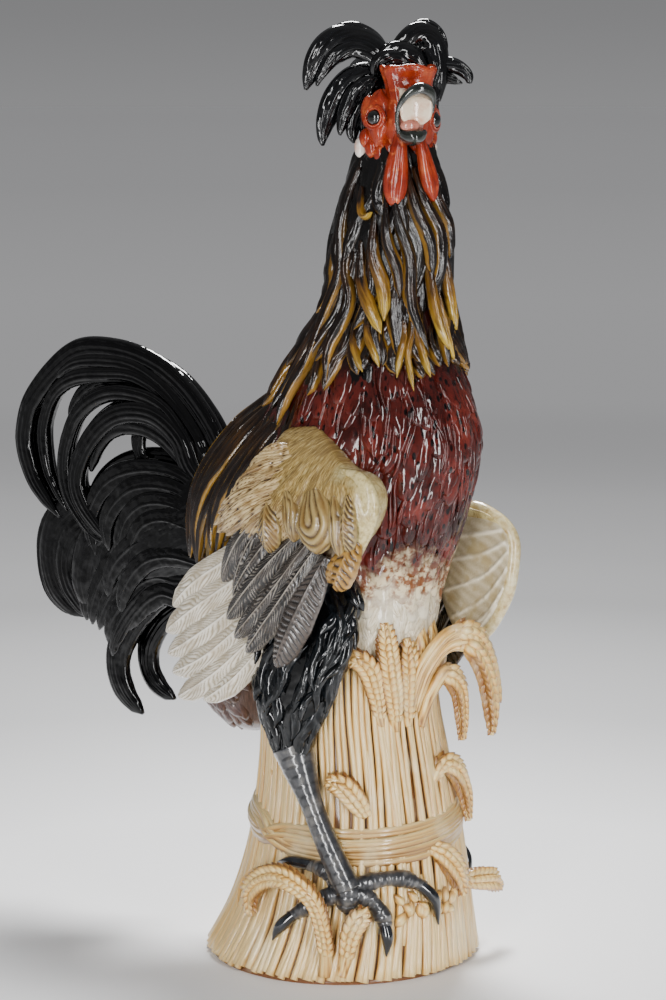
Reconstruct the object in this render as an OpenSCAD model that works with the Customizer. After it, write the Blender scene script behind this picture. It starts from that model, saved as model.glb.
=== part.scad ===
// Glazed ceramic rooster standing on a bound sheaf of wheat.
// The bird faces -Y, its right side is -X, and the origin is the middle of the foot rim on the floor.
// The figure is pressed in moulds and built up by hand from separate pieces, which are luted together
// and fired, so each piece is cut to the face of the pieces that it was pressed against.

/* [Sheaf] */
// Diameter of the sheaf at the floor
sheaf_base_d = 220; // [200:5:240]
// Diameter of the sheaf under the bird
sheaf_top_d = 140; // [132:2:148]
// Height of the sheaf from the floor to the seat of the bird
sheaf_h = 250; // [230:5:270]
// How far the sheaf leans towards its lean side at a third of its height
sheaf_lean = 12; // [0:1:14]
// Direction in which the sheaf leans, in degrees from the bird's left
lean_side = -50; // [-70:5:-30]
// Wall thickness of the sheaf
sheaf_wall = 9; // [7:0.5:12]
// Number of straws round the sheaf
straw_count = 36; // [28:2:44]
// Depth of the groove between two straws
straw_groove = 2.6; // [1.6:0.2:3.4]
// Diameter of the firing vent between the sheaf and the body
vent_d = 24; // [16:1:32]

/* [Foot rim] */
// Height of the foot rim
rim_h = 4; // [3:0.5:6]
// Width of the foot rim
rim_w = 10; // [8:1:14]
// How far the foot rim is set in from the edge of the sheaf
rim_inset = 3; // [2:0.5:5]

/* [Binding] */
// Height of the straw band round the sheaf
binding_h = 26; // [20:1:32]
// Thickness of the straw band
binding_t = 10; // [8:0.5:14]
// Height of the band's middle above the floor
binding_z = 116; // [100:2:130]
// How far the band sags at the front
binding_sag = 10; // [0:1:14]

/* [Ears of wheat] */
// Width of an ear
ear_w = 19; // [15:1:23]
// Thickness of an ear
ear_t = 14; // [11:1:17]
// Width of the large drooping ear
drooping_w = 27; // [22:1:32]
// Length of a loose grain
grain_l = 16; // [12:1:20]
// Thickness of a loose grain
grain_t = 10; // [8:0.5:12]

/* [Body] */
// Length of the shank, the module that the bird's places are shares of
shank_l = 100; // [94:1:106]
// Wall thickness of the body and neck
body_wall = 8; // [6:0.5:11]
// Width of a hackle lock, as a share of the shank length
hackle_w_share = 0.29; // [0.25:0.01:0.33]
// Thickness of a hackle lock, as a share of the shank length
hackle_t_share = 0.17; // [0.14:0.01:0.2]
// Width of a saddle hackle
saddle_w = 36; // [30:1:42]
// Thickness of a saddle hackle
saddle_t = 20; // [16:1:24]

/* [Head] */
// Half width of the head
head_r = 31; // [28:1:34]
// How far the head turns to the bird's right, in degrees
head_turn = 33; // [20:1:45]
// Diameter of an eye
eye_d = 12; // [10:0.5:14]
// Width of a crest plume
plume_w = 28; // [23:1:33]
// Thickness of a crest plume
plume_t = 15; // [12:1:18]
// Width of a wattle
wattle_w = 18; // [14:1:22]
// Thickness of a wattle
wattle_t = 12; // [9:1:14]

/* [Wings] */
// Height of the shoulder cap of a wing
cap_w = 82; // [74:2:90]
// Thickness of the shoulder cap
cap_t = 40; // [34:1:46]
// Width of a covert feather
covert_w = 32; // [26:1:38]
// Thickness of a covert feather
covert_t = 13; // [10:1:16]
// Width of a flight feather
flight_w = 32; // [26:1:38]
// Thickness of a flight feather
flight_t = 12; // [9:1:15]
// How much lower the left wing is held
wing_drop = 42; // [20:1:50]

/* [Tail] */
// Width of the outer sickle feathers
sickle_w = 50; // [44:1:56]
// Thickness of the outer sickle feathers
sickle_t = 20; // [16:1:24]
// Width of the inner sickle feathers
inner_sickle_w = 38; // [32:1:44]
// Thickness of the inner sickle feathers
inner_sickle_t = 18; // [14:1:22]
// Width of the tail coverts
lobe_w = 42; // [36:1:48]
// Thickness of the tail coverts
lobe_t = 18; // [14:1:22]

/* [Legs] */
// Width of a thigh from front to back
thigh_w = 88; // [80:1:96]
// Thickness of a thigh from side to side
thigh_t = 42; // [36:1:48]
// Diameter of a shank
shank_d = 19; // [16:1:22]
// Diameter of a toe
toe_d = 14; // [12:0.5:16]
// Diameter of a claw at its root
claw_d = 11; // [9:0.5:12]

/* [Hidden] */

straw_colour = "#dcc48e";
binding_colour = "#e3cf9c";
breast_colour = "#5e1c1c";
hackle_colour = "#5a3c16";
fluff_colour = "#7a6260";
comb_colour = "#c8401e";
black_colour = "#141416";
beak_colour = "#e9c9a6";
cap_colour = "#c9b083";
covert_colour = "#5d5652";
flight_colour = "#e6dfcb";
alula_colour = "#a86f38";
thigh_colour = "#20242c";
shank_colour = "#4a4440";

// Sides of the rings: fine on the body, coarser inside it and on the feathers and ears
body_sides = 24;
inner_sides = 16;
limb_sides = 8;
blade_sides = 6;
rim_facets = 60;
// Intermediate rings between two places of a table
body_steps = 2;
feather_steps = 2;
// Reach of the cutting block that parts the body halves, in shank lengths
cutter_share = 6;

base_r = sheaf_base_d / 2;
top_r = sheaf_top_d / 2;
rim_r = base_r - rim_inset;

// How much of the flare from the top radius to the base radius is left at each height share
flare_shares = [[0, 1], [0.15, 0.70], [0.32, 0.45], [0.49, 0.27], [0.66, 0.12], [0.82, 0.03], [1, 0]];
// How much of the lean is reached at each height share
lean_shares = [[0, 0], [0.15, 0.67], [0.32, 1], [0.49, 1], [0.66, 0.85], [0.82, 0.6], [1, 0.5]];

// Body and neck as level ovals: height above the seat, middle of the oval towards the tail,
// half width and half depth, all as shares of the shank length
torso_shares = [
    [0.00, 0.06, 0.62, 0.76], [0.11, 0.08, 0.66, 0.84], [0.34, 0.10, 0.70, 0.92],
    [0.67, 0.08, 0.73, 0.97], [1.01, 0.00, 0.74, 1.04], [1.42, -0.10, 0.74, 1.08],
    [1.83, -0.26, 0.69, 0.98], [2.40, -0.36, 0.55, 0.70], [2.90, -0.48, 0.43, 0.48]];
neck_shares = [
    [2.90, -0.48, 0.43, 0.48], [3.10, -0.49, 0.42, 0.48], [3.34, -0.50, 0.41, 0.47],
    [3.63, -0.52, 0.37, 0.42], [3.90, -0.54, 0.32, 0.34], [4.12, -0.55, 0.27, 0.28]];
fluff_shares = [
    [0.85, 1.00, 0.40, 0.22], [0.45, 1.02, 0.58, 0.42], [0.05, 1.00, 0.60, 0.50],
    [-0.25, 1.00, 0.56, 0.50], [-0.52, 0.97, 0.42, 0.36], [-0.72, 0.95, 0.25, 0.20],
    [-0.81, 0.95, 0.10, 0.09]];
head_z_share = 4.30;
head_y_share = -0.57;

// Head and its pieces: towards the left, back and up in half head widths, then the share of the girth
head_shares = [
    [0, 0.15, -1.05, 0.50], [0, 0.12, -0.80, 0.74], [0, 0.05, -0.40, 0.90], [0, 0, 0, 0.94],
    [0, 0.02, 0.45, 0.88], [0, 0.05, 0.80, 0.66], [0, 0.08, 1.02, 0.30]];
comb_shares = [
    [0, -0.62, 0.45, 0.72], [0, -0.70, 0.75, 0.80], [0, -0.76, 1.00, 0.98], [0, -0.78, 1.16, 1.08]];
face_shares = [[0, -0.50, 0.50, 0.45], [0, -0.55, 0.20, 0.95], [0, -0.55, -0.30, 1], [0, -0.50, -0.85, 0.6]];
upper_beak_shares = [
    [0, -0.78, 0.32, 1], [0, -1.10, 0.34, 0.95], [0, -1.42, 0.24, 0.74], [0, -1.66, 0.04, 0.42],
    [0, -1.74, -0.14, 0.12]];
lower_beak_shares = [
    [0, -0.78, -0.30, 1], [0, -1.10, -0.36, 0.9], [0, -1.36, -0.34, 0.65], [0, -1.52, -0.28, 0.2]];
wattle_shares = [
    [0.24, -1.00, -0.50, 0.6], [0.30, -1.06, -0.90, 0.75], [0.36, -1.10, -1.35, 0.95],
    [0.42, -1.12, -1.80, 1.0], [0.44, -1.12, -2.10, 0.35]];
comb_w_share = 1.35;
comb_t_share = 0.80;
beak_w_share = 0.86;
beak_t_share = 0.72;
lower_beak_t_share = 0.34;
face_w_share = 1.15;
face_t_share = 0.24;
face_x_share = 0.74;
eye_share = [0.72, -0.56, 0.02];

right_high_plume_shares = [
    [-0.20, 0.10, 0.80, 0.6], [-0.45, 0.15, 1.45, 0.9], [-1.05, 0.25, 1.90, 1.1], [-1.70, 0.40, 1.80, 1],
    [-2.15, 0.50, 1.35, 0.75], [-2.28, 0.55, 0.80, 0.2]];
right_low_plume_shares = [
    [-0.30, 0.15, 0.60, 0.6], [-0.95, 0.28, 0.95, 1], [-1.50, 0.40, 0.60, 1], [-1.82, 0.48, 0.05, 0.8],
    [-1.92, 0.50, -0.58, 0.2]];
left_high_plume_shares = [
    [0.05, 0, 0.80, 0.6], [0.15, -0.05, 1.52, 0.9], [0.62, -0.15, 1.90, 1.05], [1.08, -0.28, 1.80, 1],
    [1.32, -0.34, 1.45, 0.75], [1.38, -0.36, 1.00, 0.2]];
left_low_plume_shares = [
    [0.30, 0, 0.70, 0.6], [0.75, -0.15, 1.35, 0.9], [1.25, -0.32, 1.35, 0.9], [1.58, -0.40, 1.08, 0.7],
    [1.70, -0.42, 0.70, 0.2]];
middle_plume_shares = [
    [-0.05, 0.30, 0.80, 0.7], [-0.10, 0.80, 1.45, 1], [-0.20, 1.40, 1.60, 1.1], [-0.30, 1.95, 1.30, 0.9],
    [-0.35, 2.20, 0.75, 0.2]];

// Feathers: places in shank lengths, with the height taken from the seat, then the share of the girth
cap_shares = [
    [-0.72, 0.46, 1.26, 0.15], [-0.78, 0.15, 1.36, 0.62], [-0.82, -0.20, 1.41, 0.93],
    [-0.84, -0.55, 1.33, 1.05], [-0.84, -0.84, 1.23, 0.95], [-0.82, -1.04, 1.26, 0.62],
    [-0.80, -1.15, 1.34, 0.22]];
alula_shares = [
    [-0.86, -0.96, 1.00, 0.7], [-0.90, -0.90, 0.88, 1], [-0.90, -0.82, 0.72, 0.8],
    [-0.88, -0.72, 0.58, 0.2]];
covert_shares = [
    [[-0.80, -0.10, 1.15, 0.8], [-0.90, 0.20, 0.95, 1], [-0.88, 0.60, 0.62, 0.2]],
    [[-0.82, -0.25, 1.05, 0.8], [-0.95, 0.10, 0.72, 1.1], [-0.92, 0.50, 0.32, 0.2]],
    [[-0.84, -0.40, 1.00, 0.8], [-0.98, -0.05, 0.58, 1.1], [-0.95, 0.36, 0.18, 0.2]],
    [[-0.88, -0.68, 0.86, 0.8], [-1.03, -0.42, 0.42, 1], [-1.04, -0.08, -0.02, 0.2]]];
flight_shares = [
    [[-0.78, 0.00, 0.95, 0.8], [-0.86, 0.55, 0.68, 1], [-0.82, 1.07, 0.36, 0.25]],
    [[-0.78, -0.05, 0.82, 0.8], [-0.88, 0.55, 0.48, 1.1], [-0.84, 1.17, 0.12, 0.3]],
    [[-0.79, -0.10, 0.70, 0.8], [-0.88, 0.48, 0.24, 1.1], [-0.85, 1.12, -0.16, 0.3]],
    [[-0.80, -0.15, 0.56, 0.8], [-0.90, 0.36, 0.04, 1.1], [-0.87, 0.96, -0.44, 0.3]],
    [[-0.82, -0.20, 0.44, 0.8], [-0.93, 0.14, 0.06, 1], [-0.92, 0.52, -0.30, 0.25]]];
saddle_shares = [
    [[-0.14, 0.42, 2.10, 0.5], [-0.34, 0.82, 1.66, 1], [-0.46, 1.12, 1.15, 1], [-0.46, 1.24, 0.50, 0.25]],
    [[-0.34, 0.28, 2.05, 0.5], [-0.56, 0.64, 1.55, 1], [-0.64, 0.92, 1.05, 1], [-0.62, 0.98, 0.48, 0.25]],
    [[-0.50, 0.10, 1.95, 0.5], [-0.68, 0.36, 1.55, 1], [-0.72, 0.64, 1.10, 1], [-0.70, 0.74, 0.66, 0.25]]];
core_shares = [
    [0, 0.85, 1.02, 0.85], [0, 1.25, 0.94, 1.06], [0, 1.65, 0.78, 1.06], [0, 2.05, 0.58, 0.92],
    [0, 2.38, 0.36, 0.64], [0, 2.60, 0.20, 0.18]];
outer_sickle_shares = [
    [0, 0.98, 1.28, 0.7], [0, 1.40, 1.54, 0.9], [0, 1.92, 1.92, 1], [0, 2.60, 2.13, 1], [0, 3.17, 2.01, 1],
    [0, 3.54, 1.62, 1], [0, 3.53, 1.10, 0.8], [0, 3.26, 0.62, 0.25]];
second_sickle_shares = [
    [-0.08, 1.10, 1.14, 0.8], [-0.10, 1.60, 1.38, 1], [-0.10, 2.08, 1.68, 1], [-0.08, 2.60, 1.66, 1],
    [-0.06, 2.95, 1.36, 1], [-0.05, 3.00, 0.98, 0.9], [-0.05, 2.80, 0.66, 0.7], [-0.05, 2.48, 0.50, 0.3]];
third_sickle_shares = [
    [0.04, 1.20, 1.00, 0.8], [0.06, 1.66, 1.14, 1], [0.08, 2.08, 1.18, 1.1], [0.08, 2.44, 1.02, 1.1],
    [0.06, 2.64, 0.72, 1], [0.04, 2.60, 0.42, 0.7], [0.02, 2.42, 0.18, 0.3]];
lobe_shares = [
    [[0.10, 1.90, 0.85, 0.8], [0.12, 2.55, 0.74, 1], [0.10, 3.08, 0.66, 1], [0.06, 3.36, 0.36, 0.9],
        [0.04, 3.22, 0.00, 0.6], [0.02, 2.84, -0.28, 0.2]],
    [[0.00, 1.80, 0.74, 0.9], [0.00, 2.42, 0.62, 1.3], [0.00, 2.82, 0.30, 1.3], [0.00, 2.88, -0.12, 0.4]],
    [[-0.12, 1.80, 0.62, 0.9], [-0.14, 2.35, 0.40, 1.3], [-0.12, 2.66, 0.16, 1.2], [-0.10, 2.76, -0.10, 0.8],
        [-0.08, 2.60, -0.38, 0.2]]];
droop_shares = [
    [[-0.02, 1.70, 0.55, 0.8], [-0.02, 2.15, 0.22, 1], [-0.04, 2.44, -0.10, 0.9], [-0.06, 2.50, -0.42, 0.8],
        [-0.06, 2.40, -0.70, 0.6], [-0.06, 2.18, -0.84, 0.2]],
    [[0.02, 1.40, 0.60, 1.0], [0.04, 1.80, 0.28, 1.1], [0.06, 2.10, -0.02, 1], [0.08, 2.21, -0.30, 0.9],
        [0.08, 2.12, -0.57, 0.6], [0.08, 1.94, -0.69, 0.2]]];
core_t_share = 0.60;

// Legs: the thigh and hock are on the bird, the ankle and toes on the flare of the sheaf
thigh_shares = [
    [-0.50, -0.22, 0.82, 0.6], [-0.70, -0.28, 0.48, 0.96], [-0.80, -0.25, 0.08, 0.90],
    [-0.84, -0.19, -0.28, 0.68], [-0.83, -0.16, -0.52, 0.40], [-0.81, -0.18, -0.70, 0.24]];
shank_girth_shares = [1.25, 0.95, 0.9, 0.95, 1.2];
right_hock_share = [-0.81, -0.18, -0.72];
left_hock_share = [0.84, 0.52, -0.72];
left_thigh_back_share = 0.70;
knee_bow_share = 0.04;

// Rows on the sheaf: angle, share of its height, lift in thicknesses of the piece, share of the girth;
// the first rows of a foot are the ball under the shank, from which the toes spread
right_ankle_shares = [-144, 0.315, 0.95, 1];
left_ankle_shares = [14, 0.315, 0.95, 1];
toe_shares = [
    [[-144, 0.33, 0.80, 1.1], [-144, 0.295, 0.74, 1.55], [-144, 0.255, 0.55, 1.35], [-143, 0.225, 0.45, 0.4]],
    [[-146, 0.305, 0.86, 1.2], [-134, 0.27, 0.62, 1], [-127, 0.21, 0.50, 1], [-126, 0.16, 0.45, 0.7]],
    [[-148, 0.29, 0.82, 1.1], [-133, 0.325, 0.60, 1], [-118, 0.325, 0.50, 1], [-106, 0.29, 0.45, 0.7]],
    [[-142, 0.30, 0.78, 1.15], [-155, 0.27, 0.60, 1], [-164, 0.23, 0.50, 0.9], [-170, 0.20, 0.45, 0.7]],
    [[-139, 0.275, 0.66, 1], [-148, 0.31, 0.70, 1.05], [-156, 0.355, 0.60, 0.9], [-165, 0.365, 0.45, 0.7]]];
claw_shares = [
    [[-127, 0.20, 0.60, 0.9], [-125, 0.15, 0.85, 1], [-124, 0.09, 0.50, 0.3]],
    [[-109, 0.30, 0.60, 0.9], [-102, 0.25, 0.85, 1], [-98, 0.16, 0.50, 0.3]],
    [[-168, 0.21, 0.60, 0.9], [-173, 0.17, 0.80, 1], [-176, 0.12, 0.50, 0.3]],
    [[-162, 0.365, 0.60, 0.7], [-174, 0.37, 0.70, 0.9], [-184, 0.355, 0.50, 0.3]]];
// The left foot is the right foot turned round the sheaf to the left ankle
left_foot_turn = right_ankle_shares[0] + left_ankle_shares[0];

crown_ear_left_shares = [
    [-121, 0.80, 0.00, 0.5], [-124, 0.90, 0.30, 0.8], [-129, 0.99, 0.60, 1], [-137, 1.03, 0.80, 0.8],
    [-144, 1.01, 0.90, 0.25]];
crown_ear_upright_shares = [
    [-111, 0.78, 0.00, 0.5], [-113, 0.88, 0.30, 0.9], [-116, 0.98, 0.50, 1], [-118, 1.08, 0.50, 0.8],
    [-119, 1.14, 0.50, 0.25]];
crown_ear_front_shares = [
    [-101, 0.79, 0.00, 0.5], [-102, 0.90, 0.30, 0.9], [-103, 1.00, 0.50, 1], [-104, 1.08, 0.50, 0.25]];
leaf_shares = [
    [[-97, 0.92, 0.00, 0.6], [-92, 1.02, 0.40, 1], [-90, 1.12, 0.30, 0.2]],
    [[-86, 0.92, 0.00, 0.6], [-80, 1.02, 0.40, 1], [-78, 1.13, 0.30, 0.2]],
    [[-74, 0.90, 0.00, 0.6], [-66, 0.99, 0.40, 1], [-58, 1.05, 0.30, 0.2]]];
drooping_ear_large_shares = [
    [-97, 0.84, 0.35, 0.6], [-93, 0.97, 0.90, 0.8], [-84, 1.05, 1.80, 0.9], [-73, 1.06, 2.60, 1],
    [-66, 0.97, 3.10, 1], [-62, 0.85, 3.30, 0.9], [-61, 0.74, 3.10, 0.3]];
drooping_ear_small_shares = [
    [-90, 0.78, 0.00, 0.6], [-86, 0.88, 0.60, 0.8], [-79, 0.95, 1.20, 1], [-71, 0.90, 1.60, 1],
    [-68, 0.80, 1.60, 0.8], [-68, 0.72, 1.40, 0.3]];
binding_ear_shares = [
    [-135, 0.52, 0.10, 0.6], [-140, 0.57, 0.35, 1], [-147, 0.62, 0.45, 1], [-156, 0.64, 0.60, 0.3]];
side_ear_upper_shares = [
    [-88, 0.61, 0.00, 0.6], [-76, 0.66, 0.45, 0.9], [-64, 0.63, 1.00, 1], [-55, 0.56, 1.30, 0.9],
    [-51, 0.48, 1.40, 0.3]];
side_ear_lower_shares = [
    [-97, 0.40, 0.00, 0.6], [-91, 0.375, 0.40, 1], [-84, 0.31, 0.60, 1], [-80, 0.23, 0.60, 0.3]];
rear_ear_shares = [
    [-67, 0.25, 0.00, 0.7], [-61, 0.245, 0.35, 0.9], [-55, 0.235, 0.85, 1], [-49, 0.22, 1.40, 1],
    [-43, 0.18, 2.00, 0.3]];
curled_ear_shares = [
    [-148, 0.03, 0.10, 0.8], [-151, 0.14, 0.80, 0.7], [-157, 0.27, 1.60, 0.8], [-169, 0.335, 1.75, 1],
    [-181, 0.325, 1.50, 1], [-191, 0.26, 1.20, 0.9], [-190, 0.18, 0.80, 0.3]];
low_ear_shares = [
    [-141, 0.03, 0.10, 0.7], [-141, 0.09, 0.35, 0.7], [-141, 0.16, 0.65, 0.9], [-138, 0.22, 1.00, 0.9],
    [-134, 0.235, 1.00, 0.3]];
grain_place_shares = [[-116, 0.245], [-113, 0.205], [-104, 0.225], [-95, 0.245], [-93, 0.205], [-86, 0.23]];
// How far a grain leans round the sheaf over half its length, in degrees
grain_slant = 4;
// How far the middle of a loose grain stands off the straws, in its own thickness
grain_lift_share = 0.3;
// Girth between two grains of an ear, and at the two ends of a loose grain
grain_waist_share = 0.76;
grain_end_share = 0.35;

function unit(v) = v / norm(v);
function spot(row) = [row[0], row[1], row[2]];
function clamped(rows, i) = rows[max(0, min(len(rows) - 1, i))];

// Smooth curve through the rows of a table, with the given number of steps between two rows
function bend(a, b, c, d, s) =
    b + s * ((c - a) / 2 + s * ((2 * a - 5 * b + 4 * c - d) / 2 + s * (3 * b - 3 * c + d - a) / 2));
function smooth(rows, steps) = concat(
    [for (i = [0:len(rows) - 2], k = [0:steps - 1])
        bend(clamped(rows, i - 1), rows[i], rows[i + 1], clamped(rows, i + 2), k / steps)],
    [rows[len(rows) - 1]]);

// One ring of points: an oval round a middle, spanned by two half axes
function oval(middle, half_a, half_b, sides) =
    [for (k = [0:sides - 1]) middle + cos(360 * k / sides) * half_a + sin(360 * k / sides) * half_b];

// Rings square to a path; each row is a place and the share of the full width and thickness
function heading(rows, i) = unit(spot(clamped(rows, i + 1)) - spot(clamped(rows, i - 1)));
function limb_rings(rows, w, t, faces, sides) = [for (i = [0:len(rows) - 1])
    let (along = heading(rows, i), side = unit(cross(faces[i], along)), out = cross(along, side))
    oval(spot(rows[i]), side * w * rows[i][3] / 2, out * t * rows[i][3] / 2, sides)];

// Level rings of the body; wall shrinks them to the inner face
function level_rings(rows, wall, sides) = [for (row = rows)
    oval([0, row[1] * shank_l, sheaf_h + row[0] * shank_l],
        [row[2] * shank_l - wall, 0, 0], [0, row[3] * shank_l - wall, 0], sides)];

// How far the point inside each joint of a loft reaches into the next length, as a share of it
joint_share = 0.1;

function ring_middle(ring) =
    [for (axis = [0:2]) [for (p = ring) p[axis]] * [for (p = ring) 1] / len(ring)];

// Solid through rings: neighbouring rings are hulled in pairs, and each pair reaches a point into
// the next, so that they share a body and not only a face
module lofted(rings) {
    for (i = [1:len(rings) - 1]) {
        sides = len(rings[i]);
        middle = ring_middle(rings[i]);
        reach = joint_share * (ring_middle(clamped(rings, i + 1)) - middle);
        hull() {
            polyhedron(
                points = concat(rings[i - 1], rings[i], [middle + reach]),
                faces = [[for (k = [0:sides - 1]) k], [for (k = [0:sides - 1]) sides + k],
                    [2 * sides, sides, sides + 1]]);
        }
    }
}

// Places on the bird, from shares of the shank length
function on_bird(share) = [share[0] * shank_l, share[1] * shank_l, sheaf_h + share[2] * shank_l];
function bird_rows(rows) = [for (row = rows) concat(on_bird(row), [row[3]])];

// A feather on the bird; its flat sides look along facing
module feather(rows, w, t, facing) {
    path = smooth(bird_rows(rows), feather_steps);
    lofted(limb_rings(path, w, t, [for (row = path) facing], limb_sides));
}

// A thin blade on the bird
module blade(rows, w, t, facing) {
    path = smooth(bird_rows(rows), feather_steps);
    lofted(limb_rings(path, w, t, [for (row = path) facing], blade_sides));
}

// Places on the sheaf: radius and middle at a height, and a point at an angle with a lift
function sheaf_r(z) = top_r + (base_r - top_r) * lookup(z / sheaf_h, flare_shares);
function sheaf_middle(z) =
    sheaf_lean * lookup(z / sheaf_h, lean_shares) * [cos(lean_side), sin(lean_side), 0] + [0, 0, z];
function on_sheaf(angle, z, lift) = sheaf_middle(z) + (sheaf_r(z) + lift) * [cos(angle), sin(angle), 0];
function sheaf_path(rows, t) = [for (row = smooth(rows, feather_steps))
    concat(on_sheaf(row[0], row[1] * sheaf_h, row[2] * t), [row[3]])];
function outward(row) =
    let (middle = sheaf_middle(row[2])) unit([row[0] - middle[0], row[1] - middle[1], 0]);

// A limb that follows the sheaf; its flat side looks outward
module sheaf_limb(rows, w, t) {
    path = sheaf_path(rows, t);
    lofted(limb_rings(path, w, t, [for (row = path) outward(row)], blade_sides));
}

// An ear of wheat: plump grains with waists between them
module ear(rows, w = ear_w) {
    path = sheaf_path(rows, ear_t);
    plump = [for (i = [0:len(path) - 1])
        concat(spot(path[i]), [path[i][3] * (i % 2 == 0 ? 1 : grain_waist_share)])];
    lofted(limb_rings(plump, w, ear_t, [for (row = plump) outward(row)], blade_sides));
}

// Sheaf
sheaf_heights = [for (stop = flare_shares) max(rim_h, stop[0] * sheaf_h)];
inner_height_shares = [1, 0.5, 0];

function straw_ring(z) = [for (k = [0:2 * straw_count - 1])
    sheaf_middle(z) + (sheaf_r(z) - (k % 2) * straw_groove)
        * [cos(180 * k / straw_count), sin(180 * k / straw_count), 0]];
function round_ring(z, r) = [for (k = [0:2 * straw_count - 1])
    sheaf_middle(z) + r * [cos(180 * k / straw_count), sin(180 * k / straw_count), 0]];

// Triangles between rings that follow each other, with the last ring joined to the first when looped
function band_faces(count, sides, looped) = [
    for (i = [0:count - (looped ? 1 : 2)], k = [0:sides - 1])
        let (a = i * sides + k, b = i * sides + (k + 1) % sides)
        let (c = ((i + 1) % count) * sides + k, d = ((i + 1) % count) * sides + (k + 1) % sides)
        each [[a, c, d], [a, d, b]]];

module sheaf_solid() {
    rings = [for (z = sheaf_heights) straw_ring(z)];
    sides = 2 * straw_count;
    polyhedron(
        points = [for (ring = rings) each ring],
        faces = concat(
            band_faces(len(rings), sides, false),
            [[for (k = [0:sides - 1]) k]],
            [[for (k = [0:sides - 1]) len(rings) * sides - 1 - k]]));
}

module sheaf_shell() {
    roof = sheaf_h - sheaf_wall;
    rings = concat(
        [for (z = sheaf_heights) straw_ring(z)],
        [round_ring(sheaf_h, vent_d / 2), round_ring(roof, vent_d / 2)],
        [for (share = inner_height_shares)
            let (z = rim_h + share * (roof - rim_h)) round_ring(z, sheaf_r(z) - sheaf_wall)]);
    color(straw_colour) {
        polyhedron(
            points = [for (ring = rings) each ring],
            faces = band_faces(len(rings), 2 * straw_count, true));
    }
}

module foot_rim() {
    color(straw_colour) {
        difference() {
            cylinder(h = rim_h, r = rim_r, $fn = rim_facets);
            translate([0, 0, -rim_h]) {
                cylinder(h = 3 * rim_h, r = rim_r - rim_w, $fn = rim_facets);
            }
        }
    }
}

binding_stops = 24;
binding_lift_share = 0.15;

module binding_solid() {
    rows = [for (i = [0:binding_stops])
        let (angle = 360 * i / binding_stops)
        let (z = binding_z - binding_sag * cos(angle - right_ankle_shares[0]))
        concat(on_sheaf(angle, z, binding_lift_share * binding_t), [1])];
    rings = limb_rings(rows, binding_h, binding_t, [for (row = rows) outward(row)], blade_sides);
    lofted(concat([for (i = [1:binding_stops]) rings[i]], [rings[1]]));
}

module straw_binding() {
    color(binding_colour) {
        difference() {
            binding_solid();
            sheaf_solid();
        }
    }
}

// An ear luted on the sheaf, cut to the sheaf's face and to the pieces laid before it
module luted_ear(rows, w = ear_w) {
    color(straw_colour) {
        difference() {
            ear(rows, w);
            sheaf_solid();
            children();
        }
    }
}

module crown_ear_left() {
    luted_ear(crown_ear_left_shares) {
        ear(crown_ear_upright_shares);
        torso_solid();
    }
}

module crown_ear_upright() {
    luted_ear(crown_ear_upright_shares) {
        torso_solid();
    }
}

module crown_ear_front() {
    luted_ear(crown_ear_front_shares) {
        torso_solid();
        ear(crown_ear_upright_shares);
    }
}

module leaves_solid() {
    for (rows = leaf_shares) {
        sheaf_limb(rows, ear_w, ear_t);
    }
}

module crown_leaves() {
    color(straw_colour) {
        difference() {
            leaves_solid();
            sheaf_solid();
            torso_solid();
            ear(crown_ear_front_shares);
        }
    }
}

module drooping_ear_large() {
    luted_ear(drooping_ear_large_shares, drooping_w) {
        leaves_solid();
        torso_solid();
        ear(crown_ear_front_shares);
    }
}

module drooping_ear_small() {
    luted_ear(drooping_ear_small_shares) {
        leaves_solid();
        ear(drooping_ear_large_shares, drooping_w);
    }
}

module binding_ear() {
    luted_ear(binding_ear_shares) {
        binding_solid();
        shank_solid_right();
    }
}

module side_ear_upper() {
    luted_ear(side_ear_upper_shares) {
        binding_solid();
    }
}

module side_ear_lower() {
    luted_ear(side_ear_lower_shares) {
        binding_solid();
    }
}

module rear_ear() {
    luted_ear(rear_ear_shares);
}

module curled_ear() {
    luted_ear(curled_ear_shares) {
        foot_solid_right();
        claws_solid_right();
        shank_solid_right();
    }
}

module low_ear() {
    luted_ear(low_ear_shares) {
        ear(curled_ear_shares);
        foot_solid_right();
        claws_solid_right();
    }
}

module loose_grains() {
    half_h_share = grain_l / sheaf_h / 2;
    color(straw_colour) {
        difference() {
            for (place = grain_place_shares) {
                rows = [for (step = [-1:1]) [
                    place[0] + step * grain_slant, place[1] - step * half_h_share, grain_lift_share,
                    step == 0 ? 1 : grain_end_share]];
                sheaf_limb(rows, grain_t, grain_t);
            }
            sheaf_solid();
            foot_solid_right();
            claws_solid_right();
            ear(side_ear_lower_shares);
        }
    }
}

// Body
torso_rows = smooth(torso_shares, body_steps);
neck_rows = smooth(neck_shares, body_steps);

module torso_solid() {
    lofted(level_rings(torso_rows, 0, body_sides));
}

module torso_cavity() {
    floor_share = body_wall / shank_l;
    top = torso_shares[len(torso_shares) - 1];
    inner = concat(
        [for (row = torso_shares) [max(row[0], floor_share), row[1], row[2], row[3]]],
        [[top[0] + floor_share, top[1], top[2], top[3]]]);
    lofted(level_rings(inner, body_wall, inner_sides));
}

module neck_solid() {
    lofted(level_rings(neck_rows, 0, body_sides));
}

module neck_cavity() {
    foot = neck_shares[0];
    inner = concat(
        [[foot[0] - body_wall / shank_l, foot[1], foot[2], foot[3]]],
        [for (i = [0:len(neck_shares) - 2]) neck_shares[i]]);
    lofted(level_rings(inner, body_wall, inner_sides));
}

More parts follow.
